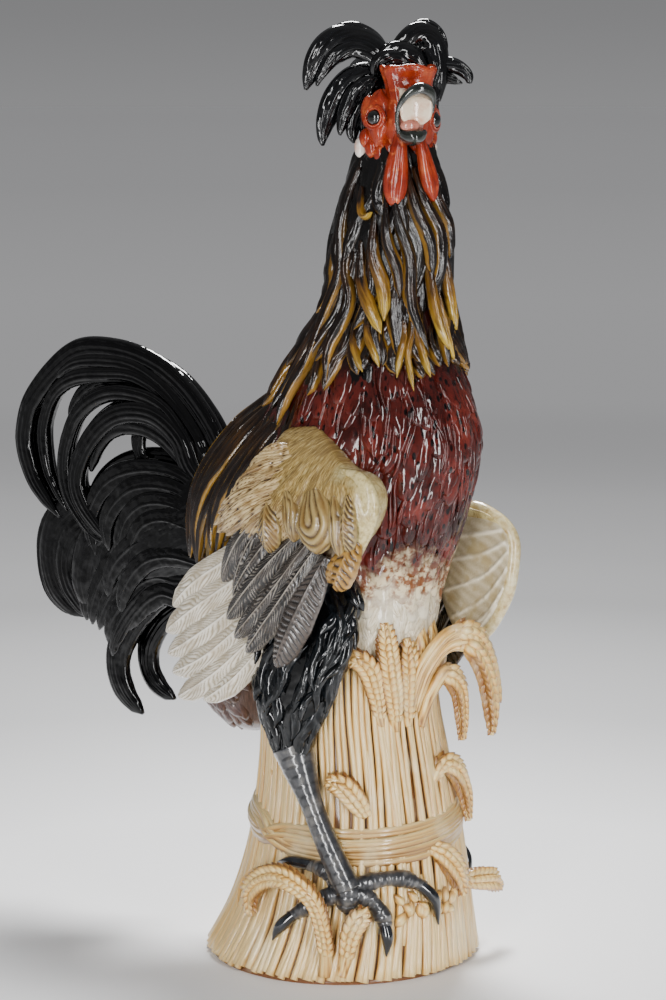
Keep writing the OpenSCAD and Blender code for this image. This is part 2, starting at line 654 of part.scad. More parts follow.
// One half of the body; side is -1 for the right half and 1 for the left half
module torso_half(side) {
    reach = cutter_share * shank_l;
    color(breast_colour) {
        difference() {
            torso_solid();
            torso_cavity();
            translate(sheaf_middle(sheaf_h)) {
                cylinder(h = 3 * body_wall, r = vent_d / 2, center = true, $fn = body_sides);
            }
            translate([side > 0 ? -reach : 0, -reach / 2, 0]) {
                cube([reach, reach, reach + sheaf_h]);
            }
        }
    }
}

module torso_right() {
    torso_half(-1);
}

module torso_left() {
    torso_half(1);
}

module neck() {
    color(hackle_colour) {
        difference() {
            neck_solid();
            neck_cavity();
        }
    }
}

// Point on the face of the body at an angle and a height share, raised by a lift
body_shares = concat(torso_shares, neck_shares);
function level_at(z_share, column) = lookup(z_share, [for (row = body_shares) [row[0], row[column]]]);
function on_body(angle, z_share, lift) = [
    (level_at(z_share, 2) * shank_l + lift) * cos(angle),
    level_at(z_share, 1) * shank_l + (level_at(z_share, 3) * shank_l + lift) * sin(angle),
    sheaf_h + z_share * shank_l];

// Hackle locks in three tiers: share of a turn from the bird's left, top and tip as heights over the
// seat, sway as a share of a turn, and girth
lock_shares = [
    [0.02, 3.95, 3.05, 0.035, 0.9], [0.18, 3.90, 2.95, -0.035, 1.0], [0.35, 3.95, 2.90, 0.035, 1.0],
    [0.52, 3.90, 3.05, -0.035, 1.0], [0.69, 3.85, 3.00, 0.035, 1.0], [0.86, 3.85, 3.00, -0.035, 1.0],
    [0.03, 3.40, 2.55, -0.035, 1.2], [0.17, 3.45, 2.40, 0.035, 1.2], [0.31, 3.40, 2.35, -0.035, 1.2],
    [0.46, 3.45, 2.50, 0.035, 1.2], [0.60, 3.40, 2.60, -0.035, 1.2], [0.74, 3.35, 2.60, 0.035, 1.2],
    [0.88, 3.40, 2.60, -0.035, 1.2],
    [0.09, 2.95, 2.00, 0.035, 1.3], [0.20, 2.90, 1.85, -0.025, 1.2], [0.31, 2.95, 1.85, 0.025, 1.2],
    [0.42, 2.90, 2.05, -0.035, 1.3], [0.53, 2.95, 2.20, 0.035, 1.3], [0.64, 2.90, 2.30, -0.035, 1.3],
    [0.76, 2.95, 2.35, 0.035, 1.3], [0.88, 2.90, 2.30, -0.035, 1.3], [0.98, 2.95, 2.15, 0.035, 1.3]];
lock_girth_shares = [0.5, 1, 0.9, 0.25];
lock_lift_share = 0.1;
lock_sides = 4;

hackle_w = hackle_w_share * shank_l;
hackle_t = hackle_t_share * shank_l;

module cape_solid() {
    last = len(lock_girth_shares) - 1;
    for (row = lock_shares) {
        angles = [for (i = [0:last]) 360 * (row[0] + row[3] * sin(360 * i / last))];
        heights = [for (i = [0:last]) row[1] + (row[2] - row[1]) * i / last];
        path = [for (i = [0:last])
            let (place = on_body(angles[i], heights[i], lock_lift_share * hackle_t))
            concat(place, [row[4] * lock_girth_shares[i]])];
        faces = [for (angle = angles) [cos(angle), sin(angle), 0]];
        lofted(limb_rings(path, hackle_w, hackle_t, faces, lock_sides));
    }
}

module hackle_cape() {
    color(hackle_colour) {
        difference() {
            cape_solid();
            torso_solid();
            neck_solid();
        }
    }
}

module fluff_solid() {
    lofted(level_rings(smooth(fluff_shares, body_steps), 0, inner_sides));
}

module rump_fluff() {
    color(fluff_colour) {
        difference() {
            fluff_solid();
            torso_solid();
            sheaf_solid();
            core_solid();
        }
    }
}

// Mirrors its children to the bird's left side
module to_left() {
    mirror([1, 0, 0]) {
        children();
    }
}

module saddle_solid() {
    for (rows = saddle_shares) {
        blade(rows, saddle_w, saddle_t, [1, -1, 0]);
    }
}

module saddle_hackles_right() {
    color(hackle_colour) {
        difference() {
            saddle_solid();
            torso_solid();
            core_solid();
            fluff_solid();
            cape_solid();
            cap_solid();
            coverts_solid();
            flights_solid();
        }
    }
}

module saddle_hackles_left() {
    color(hackle_colour) {
        difference() {
            to_left() {
                saddle_solid();
            }
            torso_solid();
            core_solid();
            fluff_solid();
            cape_solid();
            left_wing() {
                cap_solid();
                coverts_solid();
                flights_solid();
            }
        }
    }
}

// Head: its pieces are laid out facing -Y round the middle of the head, then turned
head_middle = [0, head_y_share * shank_l, sheaf_h + head_z_share * shank_l];

module at_head() {
    translate(head_middle) {
        rotate([0, 0, -head_turn]) {
            children();
        }
    }
}

function head_rows(rows) = [for (row = rows) concat(spot(row) * head_r, [row[3]])];

module head_limb(rows, w, t, facing) {
    path = smooth(head_rows(rows), feather_steps);
    lofted(limb_rings(path, w, t, [for (row = path) facing], limb_sides));
}

// Back to front length of the head as a share of its width
head_depth_share = 1.1;

module skull() {
    path = smooth(head_rows(head_shares), body_steps);
    side = [for (row = path) [1, 0, 0]];
    lofted(limb_rings(path, 2 * head_r * head_depth_share, 2 * head_r, side, inner_sides));
}

module head_solid() {
    at_head() {
        skull();
    }
}

module head() {
    color(comb_colour) {
        difference() {
            head_solid();
            neck_solid();
            at_head() {
                eyeball(-1);
                eyeball(1);
            }
        }
    }
}

module comb_solid() {
    head_limb(comb_shares, comb_t_share * head_r, comb_w_share * head_r, [1, 0, 0]);
}

module comb() {
    color(comb_colour) {
        at_head() {
            difference() {
                comb_solid();
                skull();
            }
        }
    }
}

// Red cheek round one eye; side is -1 on the right and 1 on the left
module cheek(side) {
    rows = [for (row = face_shares) [side * face_x_share, row[1], row[2], row[3]]];
    head_limb(rows, face_w_share * head_r, face_t_share * 2 * head_r, [1, 0, 0]);
}

// An eye, or with the seat diameter the round seat that clears it
eye_seat_d = eye_d / pow(cos(180 / inner_sides), 2);

module eyeball(side, d = eye_d) {
    translate(head_r * [side * (eye_share[0] + face_t_share), eye_share[1], eye_share[2]]) {
        sphere(d = d, $fn = inner_sides);
    }
}

module cheek_piece(side) {
    color(comb_colour) {
        difference() {
            at_head() {
                difference() {
                    cheek(side);
                    skull();
                    comb_solid();
                    upper_beak();
                    lower_beak();
                    eyeball(side, eye_seat_d);
                }
            }
            neck_solid();
        }
    }
}

module face_right() {
    cheek_piece(-1);
}

module face_left() {
    cheek_piece(1);
}

module eye_right() {
    color(black_colour) {
        at_head() {
            eyeball(-1);
        }
    }
}

module eye_left() {
    color(black_colour) {
        at_head() {
            eyeball(1);
        }
    }
}

module upper_beak() {
    head_limb(upper_beak_shares, beak_t_share * head_r, beak_w_share * head_r, [1, 0, 0]);
}

module lower_beak() {
    head_limb(lower_beak_shares, lower_beak_t_share * head_r, beak_w_share * head_r, [1, 0, 0]);
}

module beak_upper() {
    color(beak_colour) {
        at_head() {
            difference() {
                upper_beak();
                skull();
                comb_solid();
            }
        }
    }
}

module beak_lower() {
    color(black_colour) {
        at_head() {
            difference() {
                lower_beak();
                skull();
                upper_beak();
            }
        }
    }
}

module wattle(side) {
    rows = [for (row = wattle_shares) [side * row[0], row[1], row[2], row[3]]];
    color(comb_colour) {
        difference() {
            at_head() {
                difference() {
                    head_limb(rows, wattle_w, wattle_t, [0, 1, 0]);
                    skull();
                    lower_beak();
                    cheek(side);
                }
            }
            neck_solid();
            cape_solid();
        }
    }
}

module wattle_right() {
    wattle(-1);
}

module wattle_left() {
    wattle(1);
}

module plume_solid(rows) {
    head_limb(rows, plume_w, plume_t, [0, 1, 0]);
}

// A plume of the crest, cut to the skull, the comb and the plumes laid before it
module plume(rows) {
    color(black_colour) {
        at_head() {
            difference() {
                plume_solid(rows);
                skull();
                comb_solid();
                children();
            }
        }
    }
}

module crest_right_high() {
    plume(right_high_plume_shares);
}

module crest_right_low() {
    plume(right_low_plume_shares) {
        plume_solid(right_high_plume_shares);
        cheek(-1);
    }
}

module crest_left_high() {
    plume(left_high_plume_shares) {
        plume_solid(right_high_plume_shares);
    }
}

module crest_left_low() {
    plume(left_low_plume_shares) {
        plume_solid(left_high_plume_shares);
        plume_solid(right_high_plume_shares);
    }
}

module crest_middle() {
    color(black_colour) {
        at_head() {
            difference() {
                head_limb(middle_plume_shares, plume_w, plume_t, [1, 0, 0]);
                skull();
                plume_solid(right_high_plume_shares);
                plume_solid(right_low_plume_shares);
                plume_solid(left_high_plume_shares);
                plume_solid(left_low_plume_shares);
            }
        }
    }
}

// Wings: modelled on the right; the left wing is the mirror image, held lower
module left_wing() {
    translate([0, 0, -wing_drop]) {
        to_left() {
            children();
        }
    }
}

module cap_solid() {
    feather(cap_shares, cap_w, cap_t, [1, 0, 0]);
}

module coverts_solid() {
    for (rows = covert_shares) {
        blade(rows, covert_w, covert_t, [1, 0, 0]);
    }
}

module flights_solid() {
    for (rows = flight_shares) {
        blade(rows, flight_w, flight_t, [1, 0, 0]);
    }
}

module wing_cap_right() {
    color(cap_colour) {
        difference() {
            cap_solid();
            torso_solid();
        }
    }
}

module wing_coverts_right() {
    color(covert_colour) {
        difference() {
            coverts_solid();
            torso_solid();
            cap_solid();
            thigh_solid_right();
        }
    }
}

module wing_flights_right() {
    color(flight_colour) {
        difference() {
            flights_solid();
            torso_solid();
            cap_solid();
            coverts_solid();
            thigh_solid_right();
            fluff_solid();
        }
    }
}

module wing_alula_right() {
    color(alula_colour) {
        difference() {
            feather(alula_shares, covert_w, covert_t * 2, [1, 0, 0]);
            torso_solid();
            cap_solid();
            coverts_solid();
        }
    }
}

module wing_cap_left() {
    color(cap_colour) {
        difference() {
            left_wing() {
                cap_solid();
            }
            torso_solid();
        }
    }
}

module wing_coverts_left() {
    color(covert_colour) {
        difference() {
            left_wing() {
                coverts_solid();
            }
            left_wing() {
                cap_solid();
            }
            torso_solid();
            thigh_solid_left();
        }
    }
}

module wing_flights_left() {
    color(flight_colour) {
        difference() {
            left_wing() {
                flights_solid();
            }
            left_wing() {
                cap_solid();
                coverts_solid();
            }
            torso_solid();
            sheaf_solid();
            thigh_solid_left();
            fluff_solid();
            shank_solid_left();
        }
    }
}

// Legs
module thigh_solid_right() {
    feather(thigh_shares, thigh_w, thigh_t, [1, 0, 0]);
}

module thigh_solid_left() {
    translate([0, left_thigh_back_share * shank_l, 0]) {
        to_left() {
            thigh_solid_right();
        }
    }
}

module thigh_right() {
    color(thigh_colour) {
        difference() {
            thigh_solid_right();
            torso_solid();
            sheaf_solid();
            cap_solid();
        }
    }
}

module thigh_left() {
    color(thigh_colour) {
        difference() {
            thigh_solid_left();
            torso_solid();
            sheaf_solid();
            fluff_solid();
            left_wing() {
                cap_solid();
            }
        }
    }
}

// Shank from the hock on the bird to the ankle on the sheaf, bowed a little outwards
module shank_solid(hock_share, ankle_row) {
    hock = on_bird(hock_share);
    ankle = on_sheaf(ankle_row[0], ankle_row[1] * sheaf_h, ankle_row[2] * toe_d);
    bow = unit([hock[0], 0, 0]) * knee_bow_share * shank_l;
    last = len(shank_girth_shares) - 1;
    rows = [for (i = [0:last])
        concat(hock + (ankle - hock) * i / last + bow * sin(180 * i / last), [shank_girth_shares[i]])];
    path = smooth(rows, feather_steps);
    lofted(limb_rings(path, shank_d, shank_d, [for (row = path) [1, 0, 0]], limb_sides));
}

module shank_solid_right() {
    shank_solid(right_hock_share, right_ankle_shares);
}

module shank_solid_left() {
    shank_solid(left_hock_share, left_ankle_shares);
}

module shank_right() {
    color(shank_colour) {
        difference() {
            shank_solid_right();
            thigh_solid_right();
            sheaf_solid();
            binding_solid();
        }
    }
}

module shank_left() {
    color(shank_colour) {
        difference() {
            shank_solid_left();
            thigh_solid_left();
            sheaf_solid();
            binding_solid();
            fluff_solid();
        }
    }
}

// The rows of the right foot, turned round the sheaf to the left ankle
function left_rows(table) = [for (rows = table) [for (row = rows)
    [left_foot_turn - row[0], row[1], row[2], row[3]]]];

module toes(table) {
    for (rows = table) {
        sheaf_limb(rows, toe_d, toe_d);
    }
}

module claw_tips(table) {
    for (rows = table) {
        sheaf_limb(rows, claw_d, claw_d);
    }
}

module foot_solid_right() {
    toes(toe_shares);
}

module claws_solid_right() {
    claw_tips(claw_shares);
}

module foot_right() {
    color(shank_colour) {
        difference() {
            foot_solid_right();
            shank_solid_right();
            sheaf_solid();
            binding_solid();
        }
    }
}

module foot_left() {
    color(shank_colour) {
        difference() {
            toes(left_rows(toe_shares));
            shank_solid_left();
            sheaf_solid();
            binding_solid();
        }
    }
}

module claws_right() {
    color(black_colour) {
        difference() {
            claws_solid_right();
            foot_solid_right();
            sheaf_solid();
            binding_solid();
        }
    }
}

module claws_left() {
    color(black_colour) {
        difference() {
            claw_tips(left_rows(claw_shares));
            toes(left_rows(toe_shares));
            sheaf_solid();
            binding_solid();
        }
    }
}

// Tail
module core_solid() {
    feather(core_shares, shank_l, shank_l * core_t_share, [1, 0, 0]);
}

module tail_core() {
    color(black_colour) {
        difference() {
            core_solid();
            torso_solid();
        }
    }
}

module sickle(rows, w, t) {
    feather(rows, w, t, [1, 0, 0]);
}

module outer_sickle_solid() {
    sickle(outer_sickle_shares, sickle_w, sickle_t);
}

module second_sickle_solid() {
    sickle(second_sickle_shares, inner_sickle_w, inner_sickle_t);
}

module third_sickle_solid() {
    sickle(third_sickle_shares, inner_sickle_w, inner_sickle_t);
}

module lobes_solid() {
    for (rows = lobe_shares) {
        sickle(rows, lobe_w, lobe_t);
    }
}

module sickle_outer() {
    color(black_colour) {
        difference() {
            outer_sickle_solid();
            torso_solid();
            core_solid();
        }
    }
}

module sickle_second() {
    color(black_colour) {
        difference() {
            second_sickle_solid();
            torso_solid();
            core_solid();
            outer_sickle_solid();
        }
    }
}

module sickle_third() {
    color(black_colour) {
        difference() {
            third_sickle_solid();
            torso_solid();
            core_solid();
            outer_sickle_solid();
            second_sickle_solid();
        }
    }
}

module tail_coverts() {
    color(black_colour) {
        difference() {
            lobes_solid();
            core_solid();
            outer_sickle_solid();
            second_sickle_solid();
            third_sickle_solid();
        }
    }
}

module drooping_feathers() {
    color(black_colour) {
        difference() {
            for (rows = droop_shares) {
                sickle(rows, lobe_w, lobe_t);
            }
            core_solid();
            lobes_solid();
            torso_solid();
            fluff_solid();
        }
    }
}

foot_rim();
sheaf_shell();
straw_binding();
crown_ear_left();
crown_ear_upright();
crown_ear_front();
crown_leaves();
drooping_ear_large();
drooping_ear_small();
binding_ear();
side_ear_upper();
side_ear_lower();
rear_ear();
curled_ear();
low_ear();
loose_grains();
torso_right();
torso_left();
neck();
hackle_cape();
rump_fluff();
saddle_hackles_right();
saddle_hackles_left();
head();
comb();
face_right();
face_left();
eye_right();
eye_left();
beak_upper();
beak_lower();
wattle_right();
wattle_left();
crest_right_high();
crest_right_low();
crest_middle();
crest_left_high();
crest_left_low();
wing_cap_right();
wing_coverts_right();
wing_flights_right();
wing_alula_right();
wing_cap_left();
wing_coverts_left();
wing_flights_left();
thigh_right();
thigh_left();
shank_right();
shank_left();
foot_right();
foot_left();
claws_right();
claws_left();
tail_core();
sickle_outer();
sickle_second();
sickle_third();
tail_coverts();
drooping_feathers();
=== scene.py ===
"""Glazed ceramic rooster on a bound sheaf of wheat, dressed over its CAD frame.

Lengths are worked out in millimetres and become metres when a mesh is made.
The bird faces -Y, its right side is -X, and +Z is up. Angles round it are in degrees from its left.
"""

import bmesh
import bpy
import math
import numpy as np
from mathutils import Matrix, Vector


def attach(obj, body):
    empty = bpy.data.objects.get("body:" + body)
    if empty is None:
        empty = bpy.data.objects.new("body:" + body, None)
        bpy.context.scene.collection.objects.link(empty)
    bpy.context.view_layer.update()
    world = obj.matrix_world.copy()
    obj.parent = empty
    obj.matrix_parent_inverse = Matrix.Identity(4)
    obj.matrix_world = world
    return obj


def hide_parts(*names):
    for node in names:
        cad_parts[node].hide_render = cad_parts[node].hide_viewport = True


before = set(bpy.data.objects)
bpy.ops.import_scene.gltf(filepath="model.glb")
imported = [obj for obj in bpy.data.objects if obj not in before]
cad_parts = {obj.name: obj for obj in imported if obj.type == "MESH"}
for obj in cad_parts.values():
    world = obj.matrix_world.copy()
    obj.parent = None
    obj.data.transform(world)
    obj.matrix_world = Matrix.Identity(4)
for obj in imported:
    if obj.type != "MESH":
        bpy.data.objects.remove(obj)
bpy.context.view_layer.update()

MM = 0.001
RIGHT, LEFT = -1, 1
SIDES = ((RIGHT, "right"), (LEFT, "left"))

# Camera
CAMERA_AT = (-1.6898, -1.4087, 0.690)
CAMERA_AZIMUTH = -50
CAMERA_DOWN = 8.24
CAMERA_LENS = 99.0

cam = bpy.data.objects.new("camera", bpy.data.cameras.new("camera"))
bpy.context.scene.collection.objects.link(cam)
cam.location = CAMERA_AT
cam.rotation_euler = (math.radians(90 - CAMERA_DOWN), 0, math.radians(CAMERA_AZIMUTH))
cam.data.lens = CAMERA_LENS
cam.data.sensor_width = 36.0
cam.data.clip_start = 0.05
cam.data.clip_end = 1000.0
bpy.context.scene.camera = cam


# Curves

def unit(v):
    v = np.asarray(v, float)
    return v / np.maximum(np.linalg.norm(v, axis=-1, keepdims=True), 1e-9)


def smooth(rows, count):
    """count places, evenly spaced, on the smooth curve through the rows."""
    r = np.array(rows, float)
    a = np.vstack([r[:1], r[:-1]])[:-1]
    b, c = r[:-1], r[1:]
    d = np.vstack([r[1:], r[-1:]])[1:]
    out = []
    for s in np.linspace(0, 1, 12, endpoint=False):
        out.append(b + s * ((c - a) / 2 + s * ((2 * a - 5 * b + 4 * c - d) / 2
                                               + s * (3 * b - 3 * c + d - a) / 2)))
    dense = np.vstack([np.stack(out, 1).reshape(-1, r.shape[1]), r[-1:]])
    step = np.linalg.norm(np.diff(dense[:, :3], axis=0), axis=1)
    at = np.concatenate([[0], np.cumsum(step)])
    want = np.linspace(0, at[-1], count)
    return np.stack([np.interp(want, at, dense[:, k]) for k in range(r.shape[1])], 1)


def curve_of(points):
    """A smooth function through (x, y) points."""
    p = smooth([(x, y, 0) for x, y in points], 200)
    order = np.argsort(p[:, 0])
    return lambda x: np.interp(x, p[order, 0], p[order, 1])


def length_of(path):
    return float(np.linalg.norm(np.diff(path[:, :3], axis=0), axis=1).sum())


def frames(path, facing):
    """Direction, side and outward vectors along a path."""
    p = path[:, :3]
    t = unit(np.gradient(p, axis=0))
    side = unit(np.cross(np.broadcast_to(np.asarray(facing, float), p.shape), t))
    return t, side, np.cross(t, side)


def circle(count):
    return np.linspace(0, 2 * np.pi, count, endpoint=False)


def wave(turns):
    return np.sin(2 * np.pi * turns)


def spread(*parts):
    """One row of values per place; each part is given by ring, by side or for all."""
    return np.stack(np.broadcast_arrays(*parts), -1)


def with_girth(points, girth=1.0):
    return np.hstack([points, np.broadcast_to(girth, (1, len(points))).T])


def girths(table, count):
    return np.interp(np.linspace(0, 1, count), *zip(*table))


# Mesh forms

class Form:
    """Collects rings of points into one mesh with the attributes that the glazes read."""

    def __init__(self):
        self.v, self.f, self.flow, self.place, self.tone = [], [], [], [], []
        self.n = 0

    def grid(self, points, flow, place, tone, closed=True, caps=True):
        rings, sides = points.shape[:2]
        index = self.n + np.arange(rings * sides).reshape(rings, sides)
        a, b = index[:-1], index[1:]
        if closed:
            a2, b2 = np.roll(a, -1, 1), np.roll(b, -1, 1)
        else:
            a, a2, b, b2 = a[:, :-1], a[:, 1:], b[:, :-1], b[:, 1:]
        self.f.extend(np.stack([a, a2, b2, b], -1).reshape(-1, 4).tolist())
        if closed and caps:
            self.f += [index[0][::-1].tolist(), index[-1].tolist()]
        self.v.append(points.reshape(-1, 3))
        self.flow.append(np.broadcast_to(flow, points.shape).reshape(-1, 3))
        self.place.append(np.broadcast_to(place, points.shape).reshape(-1, 3))
        self.tone.append(np.full(rings * sides, tone))
        self.n += rings * sides

    def make(self, name, material):
        mesh = bpy.data.meshes.new(name)
        mesh.from_pydata((np.vstack(self.v) * MM).tolist(), [], self.f)
        for key, kind, field, rows in (("flow", "FLOAT_VECTOR", "vector", np.vstack(self.flow)),
                                       ("place", "FLOAT_VECTOR", "vector", np.vstack(self.place)),
                                       ("tone", "FLOAT", "value", np.concatenate(self.tone))):
            data = mesh.attributes.new(key, kind, "POINT").data
            data.foreach_set(field, rows.astype(np.float32).ravel())
        bm = bmesh.new()
        bm.from_mesh(mesh)
        bmesh.ops.recalc_face_normals(bm, faces=bm.faces)
        bm.to_mesh(mesh)
        bm.free()
        mesh.polygons.foreach_set("use_smooth", [True] * len(mesh.polygons))
        mesh.materials.append(material)
        o = bpy.data.objects.new(name, mesh)
        bpy.context.scene.collection.objects.link(o)
        return o


def piece(name, form, material, slot, *nodes):
    o = form.make(name, material)
    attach(o, "root")
    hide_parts(*nodes)


# Grooves: each takes along (0 to 1), across (-1 to 1), length and width in mm and a random
# source, and gives the depth in mm at full relief and how high the place lies, 0 to 1.

def plain(s, u, length, width, rng):
    return 0 * u, 0.7 + 0 * u


def flutes(pitch, depth, wander=0.12):
    """Ridges that run along, with a slow wander."""
    def groove(s, u, length, width, rng):
        count = max(2, round(width / pitch))
        shift = wander * (wave(1.3 * s + rng.random()) + 0.5 * wave(2.9 * s + 1.7 * u + rng.random()))
        ridge = np.abs(np.cos(np.pi * (count * (u + shift) / 2 + rng.random()))) ** 0.8
        return depth * (ridge - 1), ridge
    return groove


def slanted(s, u, length, width, slant, pitch):
    """The count of ridges up to a place, where the ridges slant back from the middle."""
    return (s * length - slant * np.abs(u) * width / 2) / pitch


def with_rib(ridge, s, u, depth, rib, rib_w):
    middle = np.exp(-((u / rib_w) ** 2))
    return depth * (ridge - 1) * (1 - middle) + rib * middle * (1 - 0.5 * s), np.maximum(ridge, middle)


def chevrons(pitch, depth, slant=1.2, rib=1.4, rib_w=0.09, crest=3.0):
    """Thin raised lines that slant from a rib to the edges."""
    def groove(s, u, length, width, rng):
        phase = slanted(s, u, length, width, slant, pitch) + 0.12 * np.sin(9 * s + 4 * u + rng.random())
        return with_rib(np.abs(np.cos(np.pi * phase)) ** crest, s, u, depth, rib, rib_w)
    return groove


def vanes(pitch, depth, slant, rib, rib_w=0.08, crest=1.6):
    """Barbs of uneven strength that slant from the rib."""
    def groove(s, u, length, width, rng):
        a, b, c, d = 2 * np.pi * rng.random(4)
        warp = (0.5 * np.sin(10.7 * s + a + 2.5 * u) + 0.35 * np.sin(27 * s + b - 3.1 * u)
                + 0.3 * np.sin(7 * u + c))
        phase = slanted(s, u, length, width, slant, pitch) + warp + 0.5 * (u > 0)
        strong = 0.66 + 0.34 * np.sin(17 * s + d + 4.3 * u) * np.sin(8 * u - 11 * s + a)
        return with_rib(np.abs(np.cos(np.pi * phase)) ** crest * strong, s, u, depth, rib, rib_w)
    return groove


def shell_rings(pitch, depth):
    """Ridges that run round inside the edge, as on a shell."""
    def groove(s, u, length, width, rng):
        x, y = u * width / 2, np.maximum(0, s - 0.45) * length
        rho = np.sqrt(x ** 2 + (y * 0.8) ** 2)
        ridge = np.abs(np.cos(np.pi * (rho / pitch + 0.15 * np.sin(9 * s)))) ** 0.8
        return depth * (ridge - 1), ridge
    return groove


# Strands and grains

FLOW_SHIFT = 200  # mm by which a strand's tone moves its glaze pattern, so that no two are alike


def ribbon(form, path, w, t, facing, rng, across=11, under=0.5, groove=plain, cup=0.0, two_sided=False,
           edge=2.2, tone=None):
    """A feather, lock or strand along a path, grooved on top; cup bends its edges in.

    The path's fourth value is the girth. A two-sided ribbon has its grooves below too.
    """
    s, u = np.linspace(0, 1, len(path))[:, None], np.linspace(-1, 1, across)
    uu = u + 0 * s
    _, side, out = frames(path, facing)
    length = length_of(path)
    tone = rng.random() if tone is None else tone
    g = path[:, 3:4]
    depth, rise = groove(s + 0 * u, uu, length, w, rng)
    crown = np.clip(1 - np.abs(u) ** edge, 0, 1) ** 0.5
    swell = t / 2 * crown * g ** 0.7
    fade = np.clip(4 * (1 - np.abs(u)), 0, 1) * np.clip(np.minimum(s, 1 - s) * 12, 0, 1)
    relief = depth * fade * np.clip(g * 1.4, 0, 1)
    sag = cup * u ** 2 * g
    keep = np.arange(1, across - 1) if two_sided else np.unique(np.linspace(1, across - 2, 3).astype(int))
    keep = keep[::-1]
    low = -(swell + relief) * under if two_sided else -under * t * crown * g ** 0.7
    base = path[:, None, :3] + side[:, None] * (u * w / 2 * g)[..., None]
    points = [base + out[:, None] * (high - sag)[..., None] for high in (swell + relief, low)]
    points = np.concatenate([points[0], points[1][:, keep]], 1)
    us = np.concatenate([uu, uu[:, keep]], 1)
    # A one-sided ribbon's underside gets a rise of 0, so the glazes paint it as shade.
    rises = np.concatenate([rise, rise[:, keep] * two_sided], 1)
    form.grid(points, spread(us * w / 2, s * length, tone * FLOW_SHIFT), spread(s, (us + 1) / 2, rises),
              tone)


def tube(form, path, radius, rng, sides=8, flat=1.0, facing=(0, 0, 1)):
    """A round strand; radius is a number or one per place."""
    _, side, out = frames(path, facing)
    s = np.linspace(0, 1, len(path))[:, None]
    r = np.broadcast_to(np.asarray(radius, float), (len(path),))[:, None]
    a = circle(sides)
    tone = rng.random()
    points = (path[:, None, :3] + side[:, None] * (np.cos(a) * r)[..., None]
              + out[:, None] * (np.sin(a) * r * flat)[..., None])
    # The rise grows toward the facing side, the top or the outer face, so the glazes paint the far side
    # darker as shade.
    form.grid(points, spread(np.cos(a) * r, s * length_of(path), tone * FLOW_SHIFT),
              spread(s, (np.cos(a) + 1) / 2, 0.5 + 0.5 * np.sin(a)), tone)


def grain(form, centre, along, out, half_l, half_w, half_t, tone):
    """A grain of wheat: pointed at its far end, round at its near end."""
    along = unit(along)
    side = unit(np.cross(out, along))
    out = np.cross(along, side)
    s = np.linspace(0, 1, 7)[:, None]
    r = np.sin(np.pi * s ** 0.8) ** 0.75
    r[[0, -1]] = 0.12
    a = circle(8)
    points = (centre + along * ((2 * s - 1) * half_l)[..., None] + side * (np.cos(a) * r)[...,
                                                                                          None] * half_w
              + out * (np.sin(a) * r)[..., None] * half_t)
    # The rise is high on the grain's outer face and low beneath it and at its ends, so the straw glaze
    # paints shade there and a highlight on top.
    form.grid(points, spread(np.cos(a) * half_w, s * 2 * half_l, tone * FLOW_SHIFT),
              spread(s, (np.cos(a) + 1) / 2, (0.5 + 0.5 * np.sin(a)) * r), tone)


# Glazes

def linear(hexa):
    c = [int(hexa[i:i + 2], 16) / 255 for i in (1, 3, 5)]
    return [*(x / 12.92 if x <= 0.04045 else ((x + 0.055) / 1.055) ** 2.4 for x in c), 1.0]


def with_stops(ramp, count):
    while len(ramp.elements) < count:
        ramp.elements.new(0.5)
    return list(ramp.elements)


